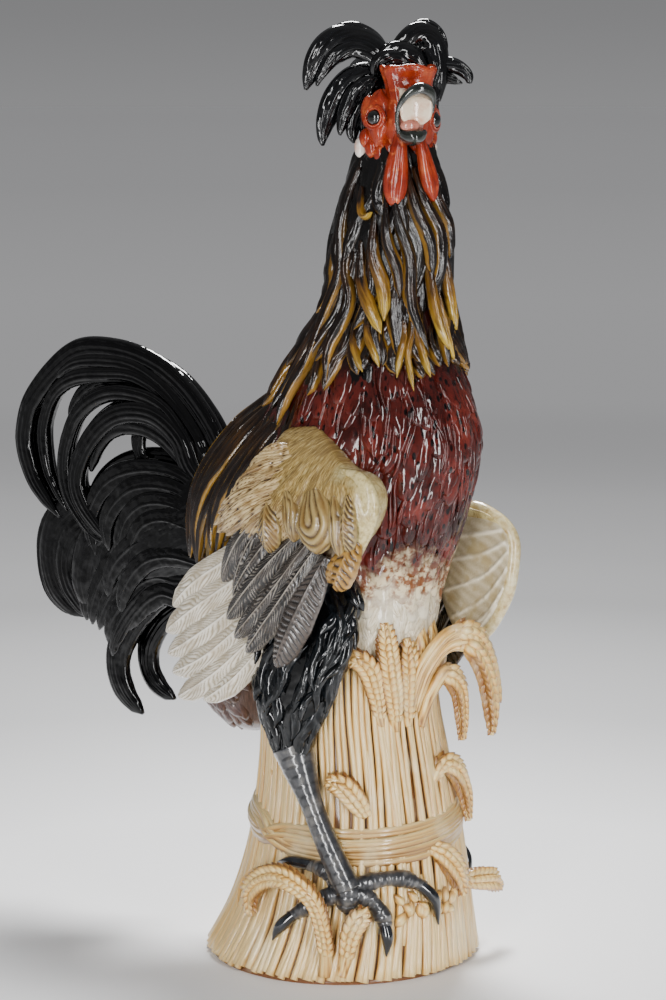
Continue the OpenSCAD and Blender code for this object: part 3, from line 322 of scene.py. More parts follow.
class Glaze:
    """A glazed ceramic material; base and normal gather what is laid on and carved."""

    def __init__(self, name, rough, coat=0.0, coat_rough=0.05, ior=1.5):
        self.m = bpy.data.materials.new(name)
        self.m.use_nodes = True
        self.t = self.m.node_tree
        self.s = self.t.nodes["Principled BSDF"]
        for key, value in (("Roughness", rough), ("IOR", ior), ("Coat Weight", coat),
                           ("Coat Roughness", coat_rough), ("Coat IOR", 1.5)):
            self.s.inputs[key].default_value = value
        self.along, self.side, self.rise = self.split(self.attribute("place", "Vector"))
        self.tone = self.attribute("tone", "Fac")
        self.flow = self.attribute("flow", "Vector")
        self.object = self.node("ShaderNodeTexCoord").outputs["Object"]
        self.base = self.normal = None

    def node(self, kind, **props):
        n = self.t.nodes.new(kind)
        for k, v in props.items():
            setattr(n, k, v)
        return n

    def attribute(self, name, output):
        return self.node("ShaderNodeAttribute", attribute_name=name).outputs[output]

    def split(self, vector):
        n = self.node("ShaderNodeSeparateXYZ")
        self.link(vector, n.inputs[0])
        return n.outputs

    def link(self, a, b):
        self.t.links.new(a, b)

    def put(self, socket, value):
        if hasattr(value, "is_output"):
            self.link(value, socket)
        else:
            socket.default_value = linear(value) if isinstance(value, str) else value

    def math(self, op, a, b, clamp=False):
        n = self.node("ShaderNodeMath", operation=op, use_clamp=clamp)
        self.put(n.inputs[0], a)
        self.put(n.inputs[1], b)
        return n.outputs[0]

    def times(self, a, b, clamp=False):
        return self.math("MULTIPLY", a, b, clamp)

    def off_middle(self, value):
        return self.math("SUBTRACT", value, 0.5)

    def shifted(self, value, noise, share):
        """The value, moved up and down by a share of the noise."""
        return self.math("ADD", value, self.times(self.off_middle(noise), share))

    def mix(self, fac, a, b):
        n = self.node("ShaderNodeMix", data_type="RGBA")
        for socket, value in ((0, fac), (6, a), (7, b)):
            self.put(n.inputs[socket], value)
        return n.outputs[2]

    def ramp(self, fac, *stops):
        """Colours at places, or numbers at places."""
        n = self.node("ShaderNodeValToRGB")
        self.link(fac, n.inputs[0])
        for e, (at, c) in zip(with_stops(n.color_ramp, len(stops)), stops):
            e.position = at
            e.color = linear(c) if isinstance(c, str) else (c, c, c, 1)
        return n.outputs[0]

    def pattern(self, kind, coords, stretch, **values):
        n = self.node(kind)
        for key, value in values.items():
            n.inputs[key].default_value = value
        m = self.node("ShaderNodeMapping")
        m.inputs["Scale"].default_value = stretch
        self.link(coords, m.inputs[0])
        self.link(m.outputs[0], n.inputs["Vector"])
        return n.outputs

    def clouds(self, scale, detail=4.0):
        """Noise with features of about 1 / scale metres."""
        return self.pattern("ShaderNodeTexNoise", self.object, (1, 1, 1), Scale=scale, Detail=detail,
                            Roughness=0.6)[0]

    def strokes(self, across, along, detail=4.0):
        """Noise drawn out along the form; across and along are features per mm."""
        return self.pattern("ShaderNodeTexNoise", self.flow, (across, along, 1), Scale=1.0, Detail=detail,
                            Roughness=0.6)[0]

    def spots(self, scale, stretch):
        return self.pattern("ShaderNodeTexVoronoi", self.object, stretch, Scale=scale)["Distance"]

    def wash(self, colour, mask, *stops):
        """Lays a colour over the base, as strong as the mask, or as the stops make it."""
        self.base = self.mix(self.ramp(mask, *stops) if stops else mask, self.base, colour)

    def pool(self, colour, strength, top):
        """Painted shade: a darker colour in the hollows, gone at the height top."""
        self.wash(colour, self.rise, (0.0, strength), (top, 0.0))

    def carve(self, height, depth, strength):
        """A bump, depth in mm, over what is carved already."""
        n = self.node("ShaderNodeBump")
        n.inputs["Strength"].default_value = strength
        n.inputs["Distance"].default_value = depth * MM
        self.link(height, n.inputs["Height"])
        if self.normal is not None:
            self.link(self.normal, n.inputs["Normal"])
        self.normal = n.outputs[0]

    def finish(self):
        self.link(self.base, self.s.inputs["Base Color"])
        self.link(self.normal, self.s.inputs["Normal"])
        return self.m


def glaze_straw(name, pale, mid, deep, hair):
    g = Glaze(name, 0.28, coat=0.6, coat_rough=0.12)
    fibre = g.strokes(1.6, 0.035)
    # Painted shade: the deep tone fills the grooves; painted highlight: the pale tone lies on the crests.
    g.base = g.ramp(g.rise, (0.0, deep), (0.34, "#9a6f35"), (0.68, mid), (0.97, pale))
    g.wash(g.mix(0.55, g.base, deep), fibre, (0.42, 0.0), (0.7, 0.75))
    g.wash("#efe2bb", g.clouds(26, 3), (0.52, 0.0), (0.72, 0.45))
    g.wash("#b98f52", g.tone, (0.55, 0.0), (1.0, 0.35))
    g.carve(fibre, 0.5, hair)
    return g.finish()


def glaze_black(name, body, light, sheen, rough=0.09, ior=1.55):
    g = Glaze(name, rough, ior=ior)
    # Painted shade: nearly black in the grooves; painted highlight: the light tone on the crests.
    g.base = g.ramp(g.rise, (0.0, "#010101"), (0.5, body), (1.0, light))
    g.wash(sheen, g.clouds(38), (0.5, 0.0), (0.75, 0.6))
    g.carve(g.strokes(0.35, 0.06, 2), 0.5, 0.4)
    g.carve(g.clouds(48, 2), 2.6, 0.8)
    return g.finish()


def glaze_breast():
    """Dark red with specks, black under the hackles, run with gold and then white at the foot."""
    g = Glaze("glaze_breast", 0.08, ior=1.48)
    cloud = g.clouds(30, 5)
    g.base = g.ramp(cloud, (0.30, "#220a08"), (0.44, "#40130f"), (0.57, "#5f1f19"), (0.72, "#7a352a"))
    # Painted shade: darker in the low places between the scales.
    g.wash("#0c0403", g.rise, (0.0, 0.9), (0.45, 0.2), (1.0, 0.0))
    g.wash("#160505", g.strokes(0.5, 0.10), (0.56, 0.0), (0.70, 0.7))
    spot = g.ramp(g.spots(210, (1, 1, 0.45)), (0.24, 1.0), (0.36, 0.0))
    g.wash("#050203", g.times(spot, g.ramp(g.clouds(60, 2), (0.40, 0.0), (0.50, 1.0))))
    z = g.shifted(g.split(g.object)[2], cloud, 0.10)
    g.wash("#0a0505", g.times(g.times(g.math("SUBTRACT", z, 0.462), 25.0, True), 0.75))
    gold = g.mix(g.ramp(g.clouds(130), (0.44, 0.0), (0.56, 1.0)), "#d9c6a0", "#7d4a26")
    g.wash(gold, g.times(g.math("SUBTRACT", 0.338, z), 34.0, True))
    g.wash("#d8cfb8", g.times(g.math("SUBTRACT", 0.310, z), 40.0, True))
    g.carve(g.strokes(0.12, 0.03, 1), 1.6, 0.6)
    return g.finish()


def glaze_fluff(name, pale, mid, deep):
    g = Glaze(name, 0.3, coat=0.7, coat_rough=0.1)
    strokes = g.strokes(0.8, 0.12, 3)
    g.base = g.ramp(strokes, (0.35, deep), (0.5, mid), (0.66, pale))
    g.wash(mid, g.clouds(34), (0.4, 0.0), (0.7, 0.6))
    # Painted shade in the hollows.
    g.pool(deep, 0.55, 0.5)
    g.carve(strokes, 0.8, 0.6)
    return g.finish()


def glaze_hackle(name, body, brown, gold, tip="#b8993c", dark=0.0, start=0.2, inner=0.33):
    """Dark lock with thin golden edges; locks with a tone over 0.9 end in a yellow leaf."""
    g = Glaze(name, 0.10, ior=1.6)
    streak = g.strokes(0.55, 0.05)
    # Painted shade: nearly black in the grooves, brown towards the crests.
    g.base = g.ramp(g.rise, (0.0, "#020101"), (0.45, body), (1.0, brown))
    g.wash(body, g.clouds(24, 3), (0.44, 0.85), (0.62, 0.0))
    near = g.shifted(g.math("ABSOLUTE", g.off_middle(g.side), 0.5), streak, 0.30)
    edge = g.times(g.ramp(near, (inner, 0.0), (inner + 0.10, 1.0)),
                   g.ramp(g.along, (start, 0.0), (start + 0.45, 1.0)))
    g.wash(gold, g.times(edge, g.ramp(g.tone, (0.25 + dark, 0.0), (0.55 + dark, 0.95))))
    leaf = g.times(g.ramp(g.tone, (0.88, 0.0), (0.94, 1.0)),
                   g.ramp(g.shifted(g.along, streak, 0.5), (0.36, 0.0), (0.60, 1.0)))
    lock = g.base
    g.base = g.ramp(g.along, (0.4, "#5f3a12"), (0.7, "#8f6a22"), (0.9, tip))
    # Painted shade in the hollows of the yellow leaf.
    g.pool("#3a2208", 0.8, 0.5)
    g.wash("#5a3a12", streak, (0.44, 0.7), (0.58, 0.0))
    g.base = g.mix(leaf, lock, g.base)
    g.carve(streak, 0.7, 0.5)
    g.carve(g.clouds(60, 2), 1.2, 0.4)
    return g.finish()


def glaze_shoulder():
    """Tan glaze drawn over with fine strokes, cream at the rim; place carries rim, brown and rise."""
    g = Glaze("glaze_wing_shoulder", 0.26, coat=0.5, coat_rough=0.1)
    fine = g.strokes(0.9, 0.16, 3)
    broad = g.strokes(0.20, 0.04, 2)
    g.base = g.ramp(fine, (0.34, "#57421f"), (0.46, "#957a41"), (0.58, "#b79d62"), (0.74, "#d8c890"))
    g.wash("#6f5630", broad, (0.48, 0.0), (0.64, 0.7))
    g.wash("#6b4a20", g.times(g.side, g.ramp(fine, (0.40, 1.0), (0.62, 0.35))))
    g.wash(g.mix(g.ramp(g.clouds(260, 3), (0.46, 0.0), (0.60, 0.7)), "#dacb93", "#a08a4e"), g.along)
    # Painted shade in the hollows.
    g.pool("#33240f", 0.9, 0.5)
    g.carve(fine, 0.5, 0.6)
    g.carve(broad, 1.6, 0.5)
    return g.finish()


def glaze_ridged(name, crest, body, groove, other, rough=0.2, share=0.5):
    """A modelled feather: painted highlight on the crests and painted shade in the grooves over a dark
    body, washed with another tone in places.
    """
    g = Glaze(name, rough, coat=0.6, coat_rough=0.06)
    fine = g.strokes(0.9, 0.5, 3)
    # Painted shade in the grooves and painted highlight on the crests; on the barred feather the dark
    # grooves are partly its own bars.
    g.base = g.ramp(g.shifted(g.rise, fine, 0.5), (0.05, groove), (0.42, body), (0.92, crest))
    g.wash(other, g.strokes(0.07, 0.05, 2), (0.50, 0.0), (0.62, share))
    g.wash(crest, g.math("ABSOLUTE", g.off_middle(g.side), 0.5), (0.42, 0.0), (0.485, 0.7))
    g.carve(fine, 0.5, 0.5)
    return g.finish()


def glaze_red(name):
    g = Glaze(name, 0.16)
    g.base = g.ramp(g.clouds(55), (0.30, "#6a1a0c"), (0.46, "#8d2a14"), (0.60, "#a53e20"),
                    (0.75, "#b65a33"))
    # Painted shade in the hollows.
    g.pool("#4a0a03", 0.8, 0.45)
    g.wash("#e0783e", g.clouds(150, 2), (0.60, 0.0), (0.74, 0.6))
    g.carve(g.clouds(200, 3), 0.4, 0.5)
    g.carve(g.clouds(60, 2), 1.8, 0.5)
    return g.finish()


def glaze_spotted(name, a, b, c, deep, scale, rough=0.2):
    """A glaze that runs through three tones in clouds, with painted shade darker in the hollows."""
    g = Glaze(name, rough, coat=1.0)
    g.base = g.ramp(g.clouds(scale), (0.32, a), (0.5, b), (0.68, c))
    # Painted shade in the hollows.
    g.pool(deep, 0.75, 0.5)
    g.carve(g.clouds(scale * 3, 3), 0.4, 0.5)
    return g.finish()


straw_m = glaze_straw("glaze_straw", "#f0d292", "#d8a95c", "#6b3f16", 0.35)
ear_m = glaze_straw("glaze_ear", "#f5da94", "#dfae5a", "#7a4818", 0.3)
band_m = glaze_straw("glaze_band", "#eed9a0", "#cfa862", "#6c4720", 0.6)
tail_m = glaze_black("glaze_tail_black", "#020203", "#050506", "#060505", 0.07, 1.42)
crest_m = glaze_black("glaze_crest_black", "#040405", "#0d0e11", "#0c0a09")
thigh_m = glaze_black("glaze_thigh_black", "#050607", "#12161a", "#0a0d10", 0.10)
breast_m = glaze_breast()
belly_m = glaze_fluff("glaze_belly", "#efe8d6", "#dccfb2", "#a8926c")
fluff_m = glaze_fluff("glaze_rump_fluff", "#745850", "#573d37", "#30201b")
hackle_m = glaze_hackle("glaze_hackle", "#0b0605", "#352010", "#8a6526")
neck_m = glaze_hackle("glaze_neck_dark", "#060404", "#1c110a", "#6a4c1c", dark=0.22, start=0.4)
saddle_m = glaze_hackle("glaze_saddle", "#120905", "#3d2710", "#9a742c", tip="#b8973f", dark=-0.30,
                        start=0.10, inner=0.27)
red_m = glaze_red("glaze_comb_red")
cap_m = glaze_shoulder()
stroke_m = glaze_ridged("glaze_wing_strokes", "#c6ad7c", "#6d5230", "#1f140a", "#8a6a3a", share=0.6)
lobes_m = glaze_ridged("glaze_wing_lobes", "#a18a56", "#715a34", "#3f2d17", "#7d5c26", share=0.6)
covert_m = glaze_ridged("glaze_covert", "#978f85", "#322d29", "#060505", "#453c35")
quill_m = glaze_ridged("glaze_covert_barred", "#4f4640", "#2c2724", "#030303", "#221e1b")
flight_m = glaze_ridged("glaze_flight", "#efe9dc", "#dcd2bf", "#a39579", "#b9a98f", share=0.55)
alula_m = glaze_ridged("glaze_alula", "#a37c3a", "#7d5926", "#1d1106", "#553914")
inner_m = glaze_ridged("glaze_wing_inner", "#e0d6bc", "#b8ab8d", "#877751", "#9f8a58", 0.3, 0.6)
edge_m = glaze_spotted("glaze_wing_edge", "#ddd2a8", "#cdbb88", "#a98b55", "#4a351a", 160)
lobe_m = glaze_spotted("glaze_ear_lobe", "#efe6dc", "#e4d3c6", "#d99b84", "#b98b7a", 120)
lid_m = glaze_spotted("glaze_eyelid", "#c9694a", "#b8492c", "#8f2412", "#5a1208", 90)
beak_m = glaze_spotted("glaze_beak", "#e7c9a4", "#efdcc2", "#d8a582", "#a7785c", 60)
mouth_m = glaze_spotted("glaze_mouth", "#b06452", "#c27d69", "#9c4a3c", "#6a2a22", 70)
horn_m = glaze_spotted("glaze_horn", "#10130f", "#1d221c", "#3a3f36", "#050605", 80, 0.15)
eye_m = glaze_spotted("glaze_eye", "#030303", "#050505", "#090909", "#020202", 90, 0.06)
leg_m = glaze_spotted("glaze_leg", "#141518", "#303134", "#5f5c58", "#08090a", 85, 0.3)
claw_m = glaze_spotted("glaze_claw", "#08090b", "#131519", "#2b2e33", "#030304", 70, 0.12)

# Sheaf, with its driving sizes as in the part's source
SHEAF_H = 250.0
SHEAF_TOP_R = 70.0
SHEAF_FLARE = 40.0
SHEAF_LEAN = 12.0
LEAN_SIDE = math.radians(-50)
WALL_IN = 11.0
STRAWS = 92
LAID_STRAWS = 34
CUT_STALKS = 70
BAND_Z = 116.0
BAND_SAG = 10.0
BAND_STRANDS = 9
ANKLE_ANGLE = -144
flare = curve_of([(0, 1), (0.15, 0.70), (0.32, 0.45), (0.49, 0.27), (0.66, 0.12), (0.82, 0.03), (1, 0)])
lean = curve_of([(0, 0), (0.15, 0.67), (0.32, 1), (0.49, 1), (0.66, 0.85), (0.82, 0.6), (1, 0.5)])


def sheaf_r(z):
    return SHEAF_TOP_R + SHEAF_FLARE * flare(np.clip(z / SHEAF_H, 0, 1))


def on_sheaf(angle, z, lift=0.0):
    a = np.radians(angle)
    z = np.asarray(z, float)
    r = sheaf_r(z) + lift
    drift = SHEAF_LEAN * lean(np.clip(z / SHEAF_H, 0, 1))
    x = drift * math.cos(LEAN_SIDE) + r * np.cos(a)
    y = drift * math.sin(LEAN_SIDE) + r * np.sin(a)
    return np.stack([x, y, z + 0 * x], -1)


def sheaf_path(rows, t, count):
    """Path over the sheaf, from rows of angle, share of the height, lift in t and girth."""
    r = np.array(rows, float)
    path = smooth(with_girth(on_sheaf(r[:, 0], r[:, 1] * SHEAF_H, r[:, 2] * t), r[:, 3]), count)
    z = path[:, 2]
    middle = on_sheaf(0, z) - np.stack([sheaf_r(z), 0 * z, 0 * z], -1)
    return path, unit((path[:, :3] - middle) * (1, 1, 0))


def make_sheaf():
    rng = np.random.default_rng(11)
    wall = Form()
    a = np.linspace(0, 360, 120, endpoint=False)
    rows = [(z, -2.2) for z in np.linspace(2, SHEAF_H, 40)]
    rows += [(SHEAF_H, -2.2 - inset) for inset in (20, 45, 56)]
    rows += [(z, -WALL_IN) for z in (241, 200, 150, 100, 60, 30, 2)]
    rings = np.stack([on_sheaf(a, z, lift) for z, lift in rows])
    # The wall's rise of 0.05 gives it the straw glaze's groove colour, painted shade behind the straws.
    wall.grid(rings, (0, 0, 3), (0.5, 0.5, 0.05), 0.5, caps=False)
    piece("sheaf_wall", wall, straw_m, "sheaf_straw", "sheaf_shell")

    straws = Form()

    def straw(angle, z, lift, radius, sides=8, up=0.0):
        p = on_sheaf(angle, z, lift)
        tube(straws, with_girth(p), radius, rng, sides=sides, facing=(0, 0, up) + unit(p * [1, 1, 0]))

    for k in range(STRAWS):
        at = 360 * (k + 0.14 * rng.standard_normal()) / STRAWS
        z = np.linspace(2.2 + 2.5 * rng.random(), SHEAF_H, 34)
        s = z / SHEAF_H
        at = at + rng.normal(0, 0.7) * (s - 0.5) + 0.7 * wave(s * rng.uniform(0.6, 1.6) + rng.random())
        lift = rng.uniform(-1.4, 0.3) + 0.5 * wave(s * 1.3 + rng.random())
        r = np.pi * sheaf_r(z) / STRAWS * rng.uniform(0.92, 1.12)
        straw(at, z, lift, np.minimum(r, 4.2), sides=9, up=0.01)
    # Straws laid over the others, leaning across them
    for k in range(LAID_STRAWS):
        at = rng.uniform(0, 360)
        z = np.linspace(rng.uniform(2, 60), rng.uniform(150, 248), 26)
        s = (z - z[0]) / (z[-1] - z[0])
        at = at + rng.normal(0, 4.5) * s + 0.8 * wave(s + rng.random())
        straw(at, z, 1.2 * np.sin(np.pi * s) - 0.4, 2.7 * (0.7 + 0.3 * np.sin(np.pi * s)))
    # Short cut stalks that fill the flare at the foot
    for k in range(CUT_STALKS):
        at = 360 * (k + rng.random()) / CUT_STALKS
        top = rng.uniform(45, 110)
        z = np.linspace(2.0 + 2 * rng.random(), top, 14)
        s = z / top
        straw(at + rng.normal(0, 1.2) * s, z, 0.9 - 1.8 * s, 3.3 * (1 - 0.45 * s))
    piece("straws", straws, straw_m, "sheaf_straw", "sheaf_shell")


def make_band():
    """Two bundles of strands that change places twice, the first time on the bird's right."""
    rng = np.random.default_rng(21)
    band = Form()
    a = np.linspace(0, 360, 150)
    s = a / 360
    swap = 1 / (1 + np.exp(-(a - 168) / 5)) - 1 / (1 + np.exp(-(a - 352) / 4))
    for k in range(BAND_STRANDS):
        home = (k / (BAND_STRANDS - 1) - 0.5) * 24
        other = home + (13.5 if home < 0 else -13.5)
        off = home * (1 - swap) + other * swap + 0.9 * wave(2 * s + rng.random())
        z = BAND_Z - BAND_SAG * np.cos(np.radians(a - ANKLE_ANGLE)) + off
        bulge = np.exp(-((a - 168) / 10) ** 2) * (3.5 if k % 2 else 0)
        lift = 2.6 + 1.9 * np.cos(np.pi * off / 15) + 0.5 * wave(3 * s + rng.random()) + bulge
        tube(band, with_girth(on_sheaf(a, z, lift)), 2.35 * rng.uniform(0.85, 1.15), rng, flat=1.15)
    piece("straw_band", band, band_m, "band_straw", "straw_binding")


# Ears of wheat


def grains(form, path, out, w, t, rng, start=0.12, pitch=5.2, back=False, size=1.0):
    """Rows of grains, laid like a plait along a path."""
    d, side, o = frames(path, out)
    n = max(3, int(length_of(path) * (1 - start) / pitch))
    s = np.linspace(0, 1, len(path))
    # Each column: its place across, its face and its shift along
    columns = [(-1, 1, 0.0), (1, 1, 0.5), (0, 1, 0.25)]
    if back:
        columns += [(-1, -1, 0.5), (1, -1, 0.0)]
    for i in range(n):
        for across, turn, shift in columns:
            at = min(start + (1 - start) * (i + shift) / n, 1.0)
            p = np.array([np.interp(at, s, path[:, k]) for k in range(4)])
            j = min(len(path) - 1, int(at * (len(path) - 1)))
            g = max(0.35, p[3])
            face = o[j] * turn
            centre = p[:3] + side[j] * across * w * 0.25 * g + face * t * (0.16 if across else 0.30) * g
            along = d[j] * 0.86 + side[j] * across * 0.55 + face * 0.22
            grain(form, centre, along, face, 6.4 * g * size * rng.uniform(0.92, 1.08), 3.3 * g * size,
                  3.1 * g * size, rng.random())


EAR_LIFT = 14
EAR_W, EAR_T = 23, 16
EAR_CORE = 0.62


def ear_piece(name, node, rows, seed, start=0.12, extra=None):
    """An ear of wheat: a fluted core under rows of grains, with what extra adds."""
    rng = np.random.default_rng(seed)
    form = Form()
    path, out = sheaf_path(rows, EAR_LIFT, 48)
    ribbon(form, path, EAR_W * EAR_CORE, EAR_T * EAR_CORE, out, rng, across=9, groove=flutes(3.0, 0.6),
           two_sided=True, under=1.0)
    grains(form, path, out, EAR_W, EAR_T, rng, start=start, back=True)
    if extra:
        extra(form, path, out, rng)
    piece(name, form, ear_m, "ear_straw", node)


def make_ears():
    ear_piece("ear_crown_left", "crown_ear_left",
              [(-121, 0.80, 0.00, 0.5), (-124, 0.90, 0.30, 0.8), (-129, 0.99, 0.60, 1),
               (-137, 1.03, 0.80, 0.8), (-144, 1.01, 0.90, 0.45)], 31)
    ear_piece("ear_crown_upright", "crown_ear_upright",
              [(-111, 0.78, 0.00, 0.5), (-113, 0.88, 0.30, 0.9), (-116, 0.98, 0.50, 1),
               (-118, 1.08, 0.50, 0.85), (-119, 1.14, 0.50, 0.45)], 32)
    ear_piece("ear_crown_front", "crown_ear_front",
              [(-101, 0.79, 0.00, 0.5), (-102, 0.90, 0.30, 0.9), (-103, 1.00, 0.50, 1),
               (-104, 1.08, 0.50, 0.45)], 33)
    rng = np.random.default_rng(34)
    form = Form()
    for rows in ([(-97, 0.92, 0.00, 0.6), (-92, 1.02, 0.40, 1), (-90, 1.12, 0.30, 0.2)],
                 [(-86, 0.92, 0.00, 0.6), (-80, 1.02, 0.40, 1), (-78, 1.13, 0.30, 0.2)],
                 [(-74, 0.90, 0.00, 0.6), (-66, 0.99, 0.40, 1), (-58, 1.05, 0.30, 0.2)]):
        path, out = sheaf_path(rows, EAR_LIFT, 24)
        ribbon(form, path, 19, 12, out, rng, across=13, groove=flutes(3.2, 1.0), two_sided=True, under=1.0)
        grains(form, path, out, 15, 10, rng, start=0.4, pitch=5.5, size=0.8)
    piece("crown_leaves", form, ear_m, "ear_straw", "crown_leaves")

    rng = np.random.default_rng(35)
    form = Form()
    rows = [(-97, 0.84, 0.00, 0.6), (-93, 0.97, 0.80, 0.8), (-84, 1.06, 1.60, 0.9), (-73, 1.06, 2.50, 1),
            (-66, 0.97, 3.10, 1), (-62, 0.85, 3.30, 0.9), (-61, 0.74, 3.10, 0.4)]
    path, out = sheaf_path(rows, EAR_LIFT, 60)
    _, side, o = frames(path, out)
    for k in range(5):
        off = (k - 2) * 4.6
        p = path.copy()
        p[:, :3] += side * (off * path[:, 3:4]) + o * (1.6 if k % 2 else 0)
        p = p[:44]
        p[:, 3] = np.linspace(1, 0.7, len(p))
        ribbon(form, p, 6.4, 7.5, out[:44], rng, across=7, groove=flutes(2.4, 0.4), two_sided=True,
               under=1.0)
    for off, a, b, g in ((-7.5, 26, 60, 1.1), (7.5, 24, 52, 1.05), (0, 30, 56, 1.0)):
        p = path.copy()
        p[:, :3] += side * off * np.linspace(0.4, 1.2, len(path))[:, None] - o * (2.5 if off == 0 else 0)
        p = smooth(p[a:b:3], 40)
        p[:, 3] *= g
        oo = np.repeat(out[a:a + 1], len(p), 0) * 0.4 + np.repeat(out[b - 1:b], len(p), 0) * 0.6
        ribbon(form, p, 11, 9, oo, rng, across=7, groove=flutes(2.4, 0.4), two_sided=True, under=1.0)
        grains(form, p, oo, 17, 14, rng, start=0.1, pitch=6.2, size=1.2, back=True)
    piece("ear_drooping_large", form, ear_m, "ear_straw", "drooping_ear_large")

    ear_piece("ear_drooping_small", "drooping_ear_small",
              [(-90, 0.78, 0.00, 0.6), (-86, 0.88, 0.60, 0.8), (-79, 0.95, 1.20, 1), (-71, 0.90, 1.60, 1),
               (-68, 0.80, 1.60, 0.8), (-68, 0.72, 1.40, 0.45)], 36, start=0.45)
    ear_piece("ear_at_band", "binding_ear",
              [(-135, 0.52, 0.10, 0.6), (-140, 0.57, 0.35, 1), (-147, 0.62, 0.45, 1),
               (-156, 0.64, 0.60, 0.45)],
              37, start=0.05)
    ear_piece("ear_side_upper", "side_ear_upper",
              [(-86, 0.60, 0.00, 0.6), (-77, 0.65, 0.35, 0.9), (-68, 0.62, 0.70, 1), (-62, 0.54, 0.80, 0.9),
               (-60, 0.44, 0.70, 0.45)], 38, start=0.1)
    ear_piece("ear_side_lower", "side_ear_lower",
              [(-97, 0.40, 0.00, 0.6), (-91, 0.375, 0.40, 1), (-84, 0.31, 0.60, 1),
               (-80, 0.23, 0.60, 0.45)],
              39, start=0.05)
    ear_piece("ear_rear", "rear_ear",
              [(-67, 0.25, 0.00, 0.7), (-58, 0.24, 0.60, 1), (-49, 0.22, 1.40, 1), (-43, 0.18, 2.00, 0.45)],
              40, start=0.1)

    def awns(form, path, out, rng):
        """Fine bristles that sweep over the arch of the curled ear."""
        _, side, o = frames(path, out)
        for k in range(7):
            a, b = 14 + 2 * k, 40 + k
            p = path[a:b].copy()
            s = np.linspace(0, 1, len(p))[:, None]
            p[:, :3] += o[a:b] * 2 - side[a:b] * (4 + 1.6 * k) * np.sqrt(s)
            p[:, 3] = np.linspace(1, 0.25, len(p))
            ribbon(form, p, 3.2, 3.0, out[a:b], rng, across=5, two_sided=True, under=1.0)

    ear_piece("ear_curled", "curled_ear",
              [(-148, 0.03, 0.10, 0.8), (-151, 0.14, 0.80, 0.7), (-157, 0.27, 1.60, 0.8),
               (-169, 0.335, 1.75, 1), (-181, 0.325, 1.50, 1), (-191, 0.26, 1.20, 0.9),
               (-190, 0.18, 0.80, 0.45)], 41, start=0.12, extra=awns)
    ear_piece("ear_low", "low_ear",
              [(-141, 0.03, 0.10, 0.7), (-141, 0.09, 0.35, 0.7), (-141, 0.16, 0.65, 0.9),
               (-138, 0.22, 1.00, 0.9), (-134, 0.235, 1.00, 0.45)], 42, start=0.3)

    rng = np.random.default_rng(43)
    form = Form()
    for a, share in ((-116, 0.245), (-113, 0.205), (-104, 0.225), (-95, 0.245), (-93, 0.205), (-86, 0.23)):
        for k in range(3):
            p = on_sheaf(a + rng.uniform(-5, 5), share * SHEAF_H + rng.uniform(-5, 5), 3.5)
            o = unit(p * [1, 1, 0])
            along = np.array([-o[1], o[0], 0]) * rng.uniform(-1, 1) + [0, 0, rng.uniform(0.2, 1)]
            grain(form, p, along, o, 7.0, 3.8, 4.2, rng.random())
    piece("grains_loose", form, ear_m, "ear_straw", "loose_grains")


# Body surface

SHANK = 100.0
UNEVEN = 0.5
TORSO = [(0.00, 0.06, 0.62, 0.76), (0.11, 0.08, 0.66, 0.84), (0.34, 0.10, 0.70, 0.92),
         (0.67, 0.08, 0.73, 0.97), (1.01, 0.00, 0.74, 1.04), (1.42, -0.10, 0.74, 1.08),
         (1.83, -0.26, 0.69, 0.98), (2.40, -0.36, 0.55, 0.70), (2.90, -0.48, 0.43, 0.48)]
NECK = [(2.90, -0.48, 0.43, 0.48), (3.10, -0.49, 0.42, 0.48), (3.34, -0.50, 0.41, 0.47),
        (3.63, -0.52, 0.37, 0.42), (3.90, -0.54, 0.32, 0.34), (4.12, -0.55, 0.27, 0.28)]
LEVELS = TORSO + NECK[1:]
level_y, level_w, level_d = (curve_of([(r[0], r[k]) for r in LEVELS]) for k in (1, 2, 3))


def on_body(angle, z, lift=0.0):
    """Point on the body at an angle (0 is the bird's left, -90 its front) and a height in mm."""
    a = np.radians(angle)
    share = np.clip((np.asarray(z, float) - SHEAF_H) / SHANK, 0, 4.12)
    w, d, y = level_w(share) * SHANK + lift, level_d(share) * SHANK + lift, level_y(share) * SHANK
    return np.stack([w * np.cos(a), y + d * np.sin(a), np.asarray(z, float) + 0 * a], -1)


def body_out(angle, z):
    pa = on_body(angle + 0.5, z) - on_body(angle - 0.5, z)
    pz = on_body(angle, z + 1) - on_body(angle, z - 1)
    return unit(np.cross(pa, pz))


def walk(angle, z, length, heading=0.0, curve=0.0, wave=0.0, waves=1.0, phase=0.0, lift=(0, 2), count=14,
         surface=on_body):
    """Path over a surface that starts at angle and z and runs down; heading turns it, in degrees."""
    step = length / (count - 1)
    pts, outs = [], []
    for i in range(count):
        s = i / (count - 1)
        pa = surface(angle + 0.5, z) - surface(angle - 0.5, z)
        pz = (surface(angle, z + 1) - surface(angle, z - 1)) / 2
        o = unit(np.cross(pa, pz))
        pts.append(surface(angle, z) + o * (lift[0] + (lift[1] - lift[0]) * s ** 1.5))
        outs.append(o)
        h = math.radians(heading + curve * s + wave * math.sin(2 * math.pi * (waves * s + phase)))
        angle += step * math.sin(h) / max(0.2, float(np.linalg.norm(pa)))
        z -= step * math.cos(h) / max(0.5, float(np.linalg.norm(pz)))
    return np.array(pts), np.array(outs)


LOCK = ((0, 0.5), (0.3, 0.95), (0.65, 1), (0.9, 0.6), (1, 0.08))
LAID = ((0, 0.35), (0.3, 0.8), (0.65, 1), (0.88, 0.75), (1, 0.06))


def lock(form, angle, z, length, w, t, rng, groove, across, cup, girth=LOCK, tone=None, **walking):
    """A lock that runs down the body, or down the surface that walking names."""
    pts, outs = walk(angle, z, length, **walking)
    ribbon(form, with_girth(pts, girths(girth, len(pts))), w, t, outs, rng, across=across, under=0.6,
           groove=groove, cup=cup, tone=tone)


